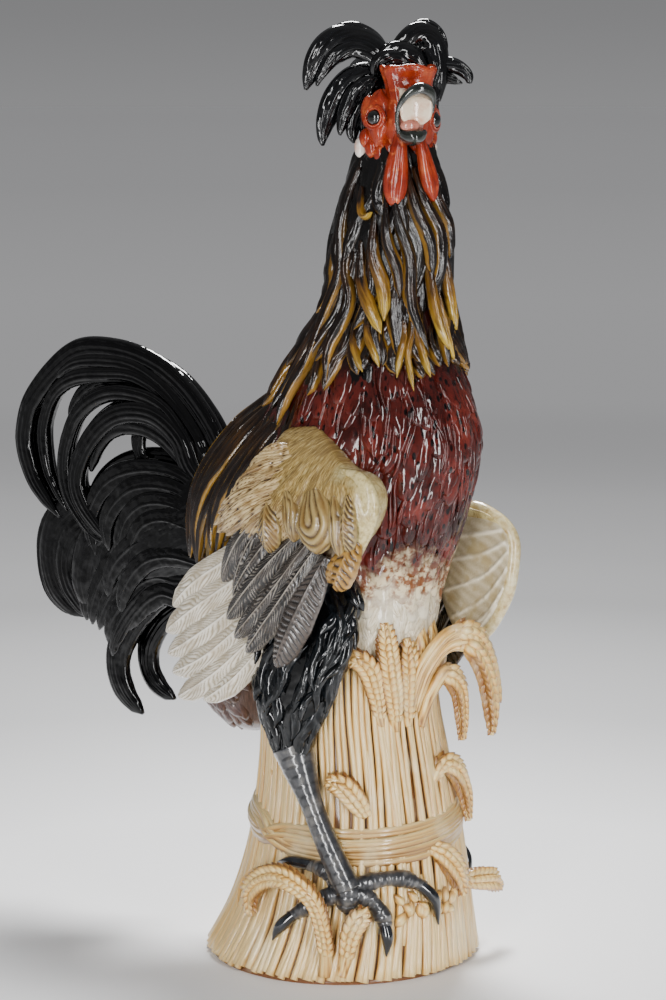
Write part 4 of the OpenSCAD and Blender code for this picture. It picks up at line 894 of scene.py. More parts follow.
def skin(form, angles, heights, rng):
    """The body's own face between the angles and heights, a little uneven."""
    grid = np.stack([on_body(angles, z) for z in heights])
    a, z = np.radians(angles), heights[:, None]
    bumps = sum(np.sin(f * a + p) * np.sin(z * q + r) for f, p, q, r in
                [(rng.integers(5, 19), rng.uniform(0, 6), rng.uniform(0.05, 0.2), rng.uniform(0, 6))
                 for _ in range(8)])
    middle = np.stack([0 * heights, level_y((heights - SHEAF_H) / SHANK) * SHANK, heights], -1)
    out = unit(grid - middle[:, None])
    s = np.linspace(0, 1, len(heights))[:, None]
    # The skin's rise of 0.35 lies low, so the glazes paint it a little darker, as shade between the locks.
    form.grid(grid + out * (bumps * UNEVEN)[..., None], spread(angles * 1.2, -z, 0), spread(s, 0.5, 0.35),
              0.5, closed=False)


def make_torso():
    for side, name in SIDES:
        rng = np.random.default_rng(50 + side)
        a0, a1 = (-90, 90) if side == LEFT else (90, 270)
        form = Form()
        skin(form, np.linspace(a0, a1, 60), np.linspace(250, 541, 90), rng)
        piece(f"body_skin_{name}", form, breast_m, "breast", f"torso_{name}")

        # Breast feathers: broad U-shaped scales, and upright strands that run between them
        form = Form()
        rows = 12
        for r in range(rows):
            z = 318 + 168 * r / (rows - 1)
            for k in range(26):
                angle = -90 + side * (7.0 * (r % 2) + 14.0 * k + rng.uniform(-3, 3))
                if abs(angle + 90) > 102:
                    continue
                lock(form, angle, z + rng.uniform(-6, 6) + 8, rng.uniform(34, 50), rng.uniform(17, 25), 8.5,
                     rng, girth=((0, 0.5), (0.35, 0.95), (0.7, 1), (0.9, 0.7), (1, 0.3)),
                     groove=flutes(4.6, 1.1, wander=0.25), across=13, heading=side * rng.uniform(-12, 12),
                     curve=rng.uniform(-18, 18), lift=(-3.2, 1.0), count=12, cup=2.4)
        for k in range(90):
            angle = -90 + side * rng.uniform(0, 100)
            lock(form, angle, rng.uniform(345, 505), rng.uniform(26, 60), rng.uniform(4.5, 8), 6.5, rng,
                 girth=((0, 0.3), (0.4, 1), (0.8, 0.8), (1, 0.15)), groove=flutes(3.2, 0.5), across=7,
                 heading=rng.uniform(-10, 10), wave=rng.uniform(4, 16), phase=rng.random(),
                 lift=(-1.5, 2.6), count=14, cup=0.5)
        piece(f"breast_feathers_{name}", form, breast_m, "breast", f"torso_{name}")

        # Soft belly, cream white, over the top of the sheaf
        form = Form()
        for k in range(95):
            angle = -90 + side * rng.uniform(0, 105)
            z = rng.uniform(262, 312)
            lock(form, angle, z, rng.uniform(22, 34), rng.uniform(14, 22), 8, rng,
                 girth=((0, 0.5), (0.4, 1), (0.8, 0.8), (1, 0.3)), groove=flutes(2.2, 0.7, wander=0.3),
                 across=11, heading=rng.uniform(-25, 25), curve=rng.uniform(-30, 30), lift=(-3.5, 0.5),
                 count=9, cup=2.5)
        piece(f"belly_{name}", form, belly_m, "fluff", f"torso_{name}")


def lay(form, rows, w, t, rng, tone, count=34):
    """A lock through places on the body: angle, height and lift."""
    path = smooth([(*on_body(a, z, up), 1) for a, z, up in rows], count)
    path[:, 3] = girths(LAID, count)
    place = smooth(rows, count)
    ribbon(form, path, w, t, body_out(place[:, 0], place[:, 1]), rng, across=13, under=0.6,
           groove=flutes(3.4, 1.1), cup=1.6, tone=tone)


# How low the hackles reach, in mm, at angles round the body
hackle_end = curve_of([(-270, 428), (-215, 440), (-185, 462), (-150, 486), (-125, 476), (-90, 486),
                       (-30, 470), (30, 438), (90, 428)])

YELLOW_LOCKS = [
    ([(-163, 606, -1), (-161, 575, 3), (-150, 548, 6), (-145, 523, 9)], 15),
    ([(-176, 584, -1), (-172, 556, 3), (-160, 535, 6), (-146, 513, 8)], 15),
    ([(-165, 545, -1), (-157, 515, 4), (-150, 500, 7), (-145, 488, 8)], 10),
    ([(-172, 530, -1), (-166, 508, 4), (-160, 494, 6), (-155, 484, 7)], 9),
    ([(-134, 550, -1), (-129, 515, 4), (-132, 498, 7), (-134.5, 480, 8)], 9),
    ([(-127, 560, -1), (-123, 520, 4), (-127, 497, 7), (-125, 470, 8)], 8),
    ([(-124, 550, -1), (-120, 518, 4), (-117, 500, 7), (-113, 480, 8)], 9),
    ([(-112, 600, -1), (-106, 560, 4), (-101, 528, 7), (-94, 500, 8)], 10),
    ([(-104, 590, -1), (-98, 548, 4), (-94, 515, 7), (-90, 492, 8)], 8),
    ([(-92, 600, -1), (-84, 562, 4), (-79, 540, 7), (-79, 514, 8)], 11),
    ([(-185, 625, 0), (-178, 608, 3), (-172, 602, 4), (-165, 606, 3)], 7)]
WAVED_LOCKS = [
    ([(-146, 630, 0), (-139, 600, 4), (-127, 570, 5), (-124, 535, 6), (-112, 498, 8)], 12),
    ([(-153, 618, 0), (-148, 585, 4), (-138, 562, 5), (-134, 540, 6)], 11),
    ([(-118, 640, 0), (-112, 615, 5), (-96, 590, 6), (-97, 560, 7), (-108, 545, 7)], 13),
    ([(-128, 640, 0), (-122, 610, 5), (-108, 582, 6), (-106, 556, 7)], 12),
    ([(-108, 645, 0), (-98, 620, 5), (-84, 595, 7), (-82, 570, 7)], 12),
    ([(-196, 640, 0), (-202, 600, 3), (-196, 560, 4), (-200, 520, 6), (-196, 480, 7)], 12),
    ([(-205, 620, 0), (-206, 580, 3), (-198, 545, 4), (-204, 500, 6), (-208, 462, 7)], 12),
    ([(-186, 600, 0), (-190, 565, 3), (-180, 535, 4), (-182, 500, 6), (-176, 474, 7)], 11),
    ([(-195, 560, 0), (-190, 530, 3), (-197, 500, 4), (-203, 462, 6), (-200, 438, 7)], 12)]


def make_neck():
    rng = np.random.default_rng(61)
    form = Form()
    skin(form, np.linspace(-180, 180, 100), np.linspace(470, 662, 60), rng)
    piece("neck_skin", form, neck_m, "hackle", "neck")

    # Upper neck: wide black locks in long waves
    form = Form()
    for z0, count, w, length in ((668, 12, 15, 80), (638, 13, 15, 95)):
        for k in range(count):
            angle = 360 * (k + rng.uniform(-0.3, 0.3)) / count
            lock(form, angle, z0 + rng.uniform(-8, 6), length * rng.uniform(0.85, 1.2),
                 w * rng.uniform(0.8, 1.25), 10, rng, groove=flutes(4.2, 1.5), across=13,
                 heading=rng.uniform(-10, 10), wave=rng.uniform(12, 26), waves=rng.uniform(0.7, 1.2),
                 phase=rng.random(), lift=(-2.5, 3.0), count=22, cup=2.0, tone=rng.uniform(0.1, 0.7))
    piece("hackle_upper", form, neck_m, "hackle", "neck")

    # Lower neck and shoulders: longer locks with golden edges; a few end in yellow leaves
    form = Form()
    for z0, count, w in ((604, 14, 13), (572, 15, 13), (540, 17, 12), (512, 19, 12)):
        for k in range(count):
            angle = -270 + 360 * (k + rng.uniform(-0.3, 0.3)) / count
            top = z0 + rng.uniform(-10, 10)
            length = min(rng.uniform(80, 112), (top - float(hackle_end(angle))) * 1.03)
            if length < 22:
                continue
            lock(form, angle, top, length, w * rng.uniform(0.75, 1.3), 10, rng,
                 girth=((0, 0.4), (0.3, 0.85), (0.7, 1), (0.9, 0.62), (1, 0.06)),
                 groove=flutes(3.8, 1.5), across=13, heading=rng.uniform(-10, 10), wave=rng.uniform(10, 26),
                 waves=rng.uniform(0.8, 1.4), phase=rng.random(), lift=(-2.5, 6), count=22, cup=1.8,
                 tone=rng.uniform(0.15, 0.85))
    for rows, w in WAVED_LOCKS:
        lay(form, rows, w, 11, rng, tone=0.8)
    for rows, w in YELLOW_LOCKS:
        lay(form, rows, w * 0.85, 10, rng, tone=0.97)
    piece("hackle_lower", form, hackle_m, "hackle", "hackle_cape")


class Levels:
    """A surface of level ovals: height, middle x and y, half width and half depth, all in mm."""

    def __init__(self, rows):
        r = sorted(rows)
        self.cols = [curve_of([(q[0], q[k]) for q in r]) for k in (1, 2, 3, 4)]
        self.low, self.high = r[0][0], r[-1][0]

    def __call__(self, angle, z, lift=0.0):
        a = np.radians(angle)
        h = np.clip(np.asarray(z, float), self.low, self.high)
        x, y, w, d = (c(h) for c in self.cols)
        return np.stack([x + (w + lift) * np.cos(a), y + (d + lift) * np.sin(a), h + 0 * a], -1)


def level_skin(form, surface, tone=0.5, sides=72, rings=40):
    """The face of a Levels surface, from the top down."""
    a = np.linspace(0, 360, sides, endpoint=False)
    z = np.linspace(surface.high, surface.low, rings)
    s = np.linspace(0, 1, rings)[:, None]
    # The skin's rise of 0.3 lies low, so the glazes paint it a little darker, as shade between the locks.
    form.grid(np.stack([surface(a, h) for h in z]), spread(a, -z[:, None], 0), spread(s, 0.5, 0.3), tone)


def bird(rows):
    """Rows in shank lengths from the top of the sheaf, in mm; what follows the place stays."""
    return [(r[0] * SHANK, r[1] * SHANK, SHEAF_H + r[2] * SHANK, *r[3:]) for r in rows]


def fan_of(path, facing, offset, lift=0.0):
    """The path, moved across its own face and off it."""
    _, side, out = frames(path, facing)
    p = path.copy()
    p[:, :3] += side * np.asarray(offset)[..., None] * path[:, 3:4] + out * lift
    return p


# Back, saddle and rump

SADDLE = [
    [(-0.14, 0.42, 2.10, 0.5), (-0.34, 0.82, 1.66, 1), (-0.46, 1.12, 1.15, 1), (-0.46, 1.24, 0.50, 0.25)],
    [(-0.34, 0.28, 2.05, 0.5), (-0.56, 0.64, 1.55, 1), (-0.64, 0.92, 1.05, 1), (-0.62, 0.98, 0.48, 0.25)],
    [(-0.50, 0.10, 1.95, 0.5), (-0.68, 0.36, 1.55, 1), (-0.72, 0.64, 1.10, 1), (-0.70, 0.74, 0.66, 0.25)]]

FLUFF = [(335, 0, 100, 40, 22), (295, 0, 102, 58, 42), (255, 0, 100, 60, 50), (225, 0, 100, 56, 50),
         (198, 0, 97, 42, 36), (178, 0, 95, 25, 20), (169, 0, 95, 10, 9)]


def make_saddle():
    for side, name in SIDES:
        rng = np.random.default_rng(70 + side)
        form = Form()
        for z0, count in ((470, 6), (440, 7), (408, 7), (376, 6)):
            for k in range(count):
                angle = 90 - side * (4 + 84 * (k + rng.uniform(-0.3, 0.3)) / count)
                lock(form, angle, z0 + rng.uniform(-10, 10), rng.uniform(80, 112), rng.uniform(12, 19), 8,
                     rng, groove=flutes(2.6, 1.0), across=13, heading=-side * rng.uniform(-12, 6),
                     wave=rng.uniform(3, 12), waves=1.1, phase=rng.random(), lift=(-3, 2.5), count=18,
                     cup=1.5)
        for rows in SADDLE:
            rows = [(-side * r[0], *r[1:]) for r in bird(rows)]
            base = smooth(rows, 34)
            facing = (side, 0.25, 0.15)
            for k in range(5):
                off = (k - 2) * 7.4 + rng.uniform(-1.5, 1.5)
                p = fan_of(base, facing, off, rng.uniform(-1.5, 3.5))
                s = np.linspace(0, 1, len(p))
                p[:, 0] += 1.5 * wave(s * 1.1 + rng.random())
                p[:, 1] += 2.0 * wave(s * 0.9 + rng.random()) * s
                cut = int(len(p) * rng.uniform(0.82, 1.0))
                p = smooth(p[:cut:3], 34)
                p[:, 3] = girths(((0, 0.6), (0.3, 1), (0.7, 1), (0.92, 0.6), (1, 0.1)), len(p))
                ribbon(form, p, 12.5, 8, facing, rng, across=11, groove=flutes(2.6, 1.0), two_sided=True,
                       under=0.9, cup=1.2)
        piece(f"saddle_{name}", form, saddle_m, "saddle", f"saddle_hackles_{name}")

    rng = np.random.default_rng(75)
    fluff = Levels(FLUFF)
    form = Form()
    level_skin(form, fluff)
    for k in range(230):
        angle = rng.uniform(-30, 210)
        z = rng.uniform(186, 300)
        lock(form, angle, z, rng.uniform(18, 30), rng.uniform(12, 18), 8, rng, surface=fluff,
             girth=((0, 0.4), (0.4, 1), (0.8, 0.8), (1, 0.3)), groove=flutes(2.2, 0.8, wander=0.3),
             across=11, heading=rng.uniform(-30, 30), curve=rng.uniform(-40, 40), lift=(-3, 1.5), count=9,
             cup=2.5)
    piece("rump_fluff_feathers", form, fluff_m, "fluff", "rump_fluff")


# Head

HEAD_AT = np.array([0.0, -59.0, 680.0])
TURN = math.radians(-35)


def head_place(p):
    """Places in the head's own frame, turned and moved to where the head is."""
    p = np.asarray(p, float)
    x, y = p[..., 0], p[..., 1]
    return np.stack([x * math.cos(TURN) - y * math.sin(TURN), x * math.sin(TURN) + y * math.cos(TURN),
                     p[..., 2]], -1) + HEAD_AT


def head_dir(d):
    return head_place(d) - HEAD_AT


def head_path(rows, count):
    r = np.array(rows, float)
    return smooth(with_girth(head_place(r[:, :3]), r[:, 3]), count)


def head_ribbon(form, rows, w, t, facing, rng, count=24, **kw):
    ribbon(form, head_path(rows, count), w, t, head_dir(facing), rng, **kw)


def boxy(v, power):
    """Values from -1 to 1 on a circle, pushed outwards to a squarer form by a power under 1."""
    return np.sign(v) * np.abs(v) ** power


def blob(form, centre, radii, rng, squareness=1.0, rings=18, sides=28, bumps=0.0):
    """A lumpy ellipsoid in the head's own frame."""
    vv, aa = np.meshgrid(np.linspace(0, np.pi, rings), circle(sides), indexing="ij")
    way = np.stack([np.sin(vv) * np.cos(aa), np.sin(vv) * np.sin(aa), np.cos(vv)], -1)
    pts = boxy(way, squareness) * radii
    if bumps:
        k = 1 + bumps * sum(np.sin(f * aa + p) * np.sin(q * vv + r) for f, p, q, r in
                            [(rng.integers(2, 6), rng.uniform(0, 6), rng.integers(2, 6), rng.uniform(0, 6))
                             for _ in range(5)])
        pts = pts * k[..., None]
    form.grid(head_place(pts + centre), spread(aa * radii[0], vv * radii[2], 0),
              spread(vv / np.pi, (np.cos(aa) + 1) / 2, 0.6), 0.5)


def ring_facing(look, count=24):
    """Places in a circle of radius 1 that faces look."""
    u1 = unit(np.cross(look, (0, 0, 1)))
    t = np.linspace(0, 2 * np.pi, count + 1)[:-1, None]
    return np.cos(t) * u1 + np.sin(t) * np.cross(u1, look)


def eye_rim(form, eye, look, off, radius, thick, rng):
    """A round bead round the eye, off in front of its middle."""
    loop = eye + look * off + ring_facing(look) * radius
    tube(form, with_girth(head_place(np.vstack([loop, loop[:2]]))), thick, rng, facing=head_dir(look))

# Side, seed, width, pitch of the flutes, the way it faces, and places with their girth
WATTLES = [
    ("right", 86, 19, 7.0, (-0.2, -1, 0),
     [(-9, -31, -14, 0.45), (-11, -34, -26, 0.7), (-13, -35, -42, 0.98), (-14, -35, -56, 1.0),
      (-14, -34, -66, 0.65), (-14, -34, -70, 0.2)]),
    ("left", 87, 15, 6.0, (0.5, -1, 0),
     [(4, -33, -14, 0.45), (7, -37, -26, 0.7), (10, -38, -40, 0.95), (13, -38, -52, 1.0),
      (15, -37, -62, 0.6), (16, -37, -66, 0.2)])]


def make_head():
    rng = np.random.default_rng(81)
    form = Form()
    blob(form, (0, 3, -2), (27, 29, 33), rng, squareness=0.95)
    blob(form, (0, 2, -24), (24, 26, 22), rng)
    for k in range(90):
        side = rng.choice([-1, 1])
        a = math.radians(rng.uniform(-18, 90)) if side > 0 else math.radians(rng.uniform(90, 198))
        z = rng.uniform(-8, 34)
        r = 27.5 * math.sqrt(max(0.05, 1 - (z / 38) ** 2))
        rows = []
        for s in np.linspace(0, 1, 6):
            zz = z - 24 * s
            rr = 27.5 * math.sqrt(max(0.05, 1 - (zz / 38) ** 2)) + 0.5 + 2.5 * s
            aa = a + 0.12 * side * s + 0.08 * math.sin(5 * s + k)
            rows.append((rr * math.cos(aa), 3 + rr * 1.05 * math.sin(aa), zz,
                         np.interp(s, (0, 0.4, 0.8, 1), (0.5, 1, 0.8, 0.1))))
        head_ribbon(form, rows, 8, 5, (math.cos(a), math.sin(a), 0.2), rng, count=12, across=7,
                    groove=flutes(2.4, 0.6))
    piece("head_feathers", form, crest_m, "crown_black", "head")

    # Cup-shaped comb with a thick, uneven rim
    form = Form()
    prof = [(2, 15, 11, -24), (10, 16.5, 12, -23), (18, 17.5, 12, -22.5), (25, 18.5, 12, -22.5),
            (30, 20, 13, -22.5), (34, 21.5, 14, -23), (36.5, 21.5, 14, -23), (37.5, 19.5, 12, -23),
            (35.5, 16.5, 9.5, -23), (31, 13, 7, -23), (28, 7, 4, -23)]
    prof = smooth(prof, 44)
    a = circle(56)
    rings = []
    for i, (z, w, d, y) in enumerate(prof):
        s = i / (len(prof) - 1)
        wob = (1 + 0.025 * np.sin(5 * a + 1.0) + 0.035 * np.sin(9 * a + 3 * s) * s
               + 0.02 * np.sin(14 * a + 9 * s))
        x = boxy(np.cos(a), 0.75) * w * wob
        yy = boxy(np.sin(a), 0.75) * d * wob
        zz = z + (1.3 * np.sin(3 * a + 0.6) + 0.9 * np.sin(7 * a)) * np.clip(s * 1.6 - 0.4, 0, 1)
        rings.append(np.stack([x, y + yy, zz], -1))
    s = np.linspace(0, 1, len(prof))[:, None]
    # The rise falls to 0 over the lip and down the inner wall, so the red glaze paints the inside of the
    # cup darker, as shade.
    rise = 0.9 - 0.9 * np.clip((s - 0.72) * 4, 0, 1)
    form.grid(head_place(np.array(rings)), spread(a * 15, s * 40, 0), spread(s, 0.5, rise), 0.5)
    piece("comb_cup", form, red_m, "comb_red", "comb")

    for side, name in SIDES:
        rng = np.random.default_rng(84 + side)
        form = Form()
        # Cheek: a raised pad with a rim round the eye and scalloped lobes below
        tuck = 8.0 if side == LEFT else 0.0
        blob(form, (side * (19 - tuck), -15, -4), (12, 12, 23), rng, bumps=0.025, squareness=0.92)
        blob(form, (side * (9 - tuck / 2), -25, -4), (10, 9, 24), rng, bumps=0.02)
        blob(form, (side * (27 - tuck), -10, 2), (7.5, 9, 13), rng, bumps=0.02)
        for x, y, z, r in ((30, -9, -18, 5.5), (26, -12, -25, 6.0), (20, -16, -29, 6.0),
                           (14, -20, -27, 5.5)):
            blob(form, (side * (x - tuck), y, z), (r, r, r * 1.4), rng, bumps=0.02, rings=12, sides=16)
        eye = np.array((side * 26.0, -21.0, -2.0) if side == RIGHT else (side * 21.5, -17.0, -4.0))
        look = unit(np.array((side * 0.75, -0.65, 0.05)))
        eye_rim(form, eye, look, 1.0, 8.2, 2.1, rng)
        piece(f"cheek_{name}", form, red_m, "comb_red", f"face_{name}")

        form = Form()
        c = eye + look * 0.3
        v = np.linspace(0, np.pi, 16)
        ring = ring_facing(look)
        rings = np.array([head_place(c + look * 5.8 * math.cos(q) + ring * 6.4 * max(0.03, math.sin(q)))
                          for q in v])
        s = (v / np.pi)[:, None]
        form.grid(rings, spread(0, s, 0), spread(s, 0, 0.5), 0.5)
        piece(f"eyeball_{name}", form, eye_m, "eye", f"eye_{name}")

        form = Form()
        eye_rim(form, eye, look, 3.0, 6.9, 0.6, rng)
        piece(f"eyelid_{name}", form, lid_m, "comb_red", f"face_{name}")
        form = Form()
        blob(form, (side * (32 - tuck), -2, -25), (5.5, 5.0, 8.5), rng, rings=12, sides=16, bumps=0.02)
        blob(form, (side * (17 - tuck), -15, -33), (6.5, 4.5, 4.5), rng, rings=12, sides=16, bumps=0.03)
        piece(f"ear_lobe_{name}", form, lobe_m, "comb_red", f"face_{name}")

    for name, seed, w, pitch, facing, rows in WATTLES:
        form = Form()
        head_ribbon(form, rows, w, 12, facing, np.random.default_rng(seed), count=30, across=15,
                    groove=flutes(pitch, 1.0, wander=0.05), two_sided=True, under=0.9, edge=2.6)
        piece(f"wattle_drop_{name}", form, red_m, "comb_red", f"wattle_{name}")

    # Beak, a little open
    rng = np.random.default_rng(88)
    form = Form()
    rows = [(0, -22, 13, 0.9), (0, -32, 17, 0.95), (0, -39, 15, 1.0), (-1, -42, 10, 1.0), (-1, -43, 4, 1.0),
            (-1, -43, -2, 0.9), (-1, -42, -7, 0.5)]
    head_ribbon(form, rows, 26, 6, (0, -1, 0.45), rng, count=36, across=21, two_sided=True, under=0.9,
                edge=2.0, cup=-4)
    piece("beak_top", form, beak_m, "beak", "beak_upper")
    form = Form()
    arch = [(-13, -42, -14, 0.45), (-15, -43, -4, 0.5), (-14, -46, 7, 0.6), (-8, -49, 16, 0.95),
            (1, -50, 20, 1.3), (9, -48, 17, 1.25), (13, -44, 10, 0.7), (13, -42, 2, 0.4)]
    path = head_path(arch, 30)
    tube(form, path, 3.6 * path[:, 3], rng, sides=10, facing=head_dir((0, -1, 0.3)))
    rows = [(-2, -24, -15, 0.9), (-2, -36, -17, 1.0), (-2, -46, -17, 0.85), (-2, -52, -15, 0.4)]
    head_ribbon(form, rows, 24, 13, (0, -0.2, 1), rng, count=24, across=17, two_sided=True, under=1.0,
                cup=-4.5)
    piece("beak_bottom", form, horn_m, "beak_dark", "beak_lower")
    form = Form()
    blob(form, (-3, -37, -7), (11.0, 8, 7.5), rng, rings=14, sides=20)
    blob(form, (-5, -44, -8), (8.0, 5, 5.0), rng, rings=14, sides=20)
    piece("mouth", form, mouth_m, "beak", "beak_upper")

    # Crest
    def plumes(name, node, seed, *blades):
        r2 = np.random.default_rng(seed)
        f = Form()
        for rows, w, t, facing in blades:
            head_ribbon(f, rows, w, t, facing, r2, count=40, across=19,
                        groove=flutes(2.6, 1.0, wander=0.06), two_sided=True, under=0.9, cup=1.5)
        piece(name, f, crest_m, "crest_black", node)

    cam_side = (0.25, -1, 0.15)
    plumes("crest_a", "crest_right_high", 91,
           ([(-8, 6, 30, 0.6), (-12, 5, 43, 0.8), (-24, 8, 55, 0.95), (-40, 12, 58, 1), (-53, 15, 52, 1),
             (-62, 17, 41, 0.85), (-68, 19, 28, 0.5), (-71, 19, 19, 0.12)], 25, 10, cam_side),
           ([(-6, 9, 34, 0.5), (-16, 10, 54, 0.9), (-30, 13, 63, 1), (-42, 15, 63, 0.9), (-53, 17, 57, 0.5),
             (-57, 18, 52, 0.15)],
            18, 9, cam_side),
           ([(-10, 2, 32, 0.5), (-22, 4, 46, 0.9), (-36, 8, 51, 1), (-50, 11, 44, 0.9), (-60, 14, 30, 0.5),
             (-63, 15, 22, 0.15)],
            15, 9, cam_side))
    plumes("crest_b", "crest_right_low", 92,
           ([(-10, 6, 24, 0.6), (-22, 8, 31, 0.9), (-36, 12, 26, 1), (-48, 14, 12, 1), (-55, 15, -4, 0.8),
             (-58, 16, -17, 0.45), (-58, 16, -24, 0.12)], 22, 10, cam_side),
           ([(-10, 2, 20, 0.6), (-22, 3, 25, 0.9), (-34, 6, 16, 1), (-41, 8, 2, 0.9), (-45, 9, -10, 0.5),
             (-46, 9, -16, 0.12)],
            16, 9, cam_side),
           ([(-14, 8, 12, 0.6), (-26, 9, 10, 0.9), (-33, 10, -2, 1), (-35, 11, -14, 0.8),
             (-34, 11, -22, 0.2)], 14, 8, cam_side))
    plumes("crest_c", "crest_left_high", 93,
           ([(-4, 4, 30, 0.6), (0, 2, 46, 0.9), (9, -1, 58, 1), (18, -4, 62, 1), (26, -7, 57, 0.9),
             (29, -10, 45, 0.8), (29, -12, 30, 0.7), (28, -12, 17, 0.4), (28, -12, 10, 0.12)], 21, 10,
            cam_side),
           ([(2, 3, 34, 0.6), (10, 0, 46, 0.9), (19, -6, 50, 1), (24, -12, 42, 0.9), (24, -14, 31, 0.8),
             (22, -14, 20, 0.4), (22, -14, 15, 0.12)], 12, 9, cam_side),
           ([(-2, 7, 38, 0.6), (8, 5, 58, 0.9), (19, 1, 68, 1), (29, -3, 64, 0.8), (34, -6, 54, 0.5),
             (34, -8, 44, 0.15)], 13, 8,
            cam_side))
    plumes("crest_d", "crest_left_low", 94,
           ([(8, 0, 32, 0.6), (22, -4, 38, 0.9), (36, -9, 39, 1), (45, -12, 36, 0.9), (51, -14, 30, 0.7),
             (52, -14, 24, 0.3)],
            13, 10, cam_side),
           ([(8, 2, 22, 0.6), (22, -2, 28, 0.9), (34, -7, 29, 1), (42, -10, 26, 0.6), (47, -11, 24, 0.15)],
            11, 9, cam_side))
    plumes("crest_e", "crest_middle", 95,
           ([(-16, 6, 34, 0.5), (-10, 0, 46, 0.9), (0, -6, 49, 1), (10, -10, 44, 0.9), (17, -12, 36, 0.3)],
            17, 9, cam_side),
           ([(-20, 4, 30, 0.5), (-18, -2, 40, 0.9), (-10, -8, 44, 1), (-2, -11, 42, 0.7),
             (5, -12, 37, 0.2)], 14, 9, cam_side),
           ([(-2, 9, 25, 0.7), (-3, 25, 45, 1), (-6, 43, 50, 1.1), (-9, 58, 42, 0.9), (-11, 68, 25, 0.2)],
            26, 10, (-0.4, 0.3, 1)),
           ([(-10, 12, 22, 0.7), (-15, 26, 38, 1), (-21, 42, 40, 1.0), (-25, 54, 28, 0.8),
             (-27, 60, 12, 0.2)], 22, 10, (-0.8, 0.3, 1)),
           ([(8, 12, 22, 0.7), (10, 26, 38, 1), (12, 42, 40, 1.0), (12, 54, 28, 0.8), (11, 60, 12, 0.2)],
            22, 10, (0.8, 0.3, 1)),
           ([(0, 14, 12, 0.7), (-2, 30, 20, 1), (-4, 42, 12, 1.0), (-6, 48, -4, 0.8), (-7, 49, -16, 0.2)],
            24, 9, (0, 1, 0.5)),
           ([(16, 2, 22, 0.6), (21, -8, 21, 0.9), (23, -14, 16, 1), (20, -16, 12, 0.6), (18, -14, 13, 0.2)],
            12, 11, cam_side))


# Wings


PETAL = ((0, 0.45), (0.25, 0.85), (0.55, 1), (0.8, 0.86), (0.93, 0.55), (1, 0.2))
QUILL = ((0, 0.5), (0.3, 0.9), (0.7, 1), (0.9, 0.72), (0.97, 0.4), (1, 0.15))


def wing_feather(form, rows, w, t, facing, rng, groove, girth=QUILL, across=31, cup=0.0, count=96):
    path = smooth([(*r, 1) for r in rows], count)
    path[:, 3] = girths(girth, count)
    ribbon(form, path, w, t, facing, rng, across=across, groove=groove, cup=cup, two_sided=True, under=0.9)


def plate(form, outline, centre, x_edge, bulge, x_in, side, drop, look, relief, power=2.4, offset=(0, 0),
          rings=46, around=200):
    """A swelling plate across x: outline places (y, z), x at the edge by height, and how far it swells.

    look gives the along, side and flow values of places; relief gives a depth in mm and a rise.
    """
    o = np.array(outline, float)
    loop = smooth([(*p, 0) for p in np.vstack([o[-2:], o, o[:2]])], around * 2)[:, :2]
    angle = np.unwrap(np.arctan2(loop[:, 1] - centre[1], loop[:, 0] - centre[0]))
    want = angle[around // 4] + np.sign(angle[-1] - angle[0]) * circle(around)
    order = np.argsort(angle)
    reach = np.interp(want, angle[order], np.hypot(*(loop - centre).T)[order])
    rho = np.sin(np.linspace(0.03, np.pi / 2, rings))[:, None]
    y = centre[0] + rho * reach * np.cos(want)
    z = centre[1] + rho * reach * np.sin(want)
    xe = np.interp(z, *zip(*x_edge))
    swell = bulge * np.clip(1 - rho ** power, 0, 1) ** 0.5
    depth, rise = relief(y, z)
    x = xe + swell + depth * np.clip(8 * (1 - rho), 0, 1)
    back = slice(-2, None, -3)
    yb, zb = y[back], z[back]
    xb = np.minimum(xe[back] - 0.5, xe[back] - (xe[back] - x_in) * np.clip(1 - rho[back] ** 6, 0, 1) ** 0.5)
    pts = np.concatenate([np.stack([side * x, y, z], -1), np.stack([side * xb, yb, zb], -1)])
    pts -= (side * offset[0], -offset[1], drop)
    yy, zz = np.concatenate([y, yb]), np.concatenate([z, zb])
    along, across, flow = look(yy, zz)
    place = np.stack([along, across, np.concatenate([rise, 0 * yb + 0.5])], -1)
    form.grid(pts, flow, place, 0.5)


SHOULDER = (-72.0, 462.0)
FAN_SCALE = 120.0


def fan_flow(y, z):
    """Flow that runs out from the shoulder: across, along."""
    return spread(np.arctan2(y - SHOULDER[0], SHOULDER[1] - z) * FAN_SCALE,
                  np.hypot(y - SHOULDER[0], z - SHOULDER[1]), 0)


CAP_EDGE = [(-5, 436), (-30, 440), (-51, 430), (-66, 419), (-78, 412), (-90, 410), (-102, 404), (-109, 393),
            (-109, 382), (-105, 371), (-97, 359), (-86, 352), (-76, 351), (-62, 352), (-45, 356),
            (-20, 352), (5, 350), (30, 352), (49, 352), (46, 364), (34, 379), (23, 397), (12, 408),
            (2, 422)]
# The front rim of the wing, from the shoulder down to the alula: y, z
RIM = [(-78, 411), (-93, 408), (-102, 399), (-105, 386), (-102, 372), (-96, 360), (-90, 349), (-85, 340)]


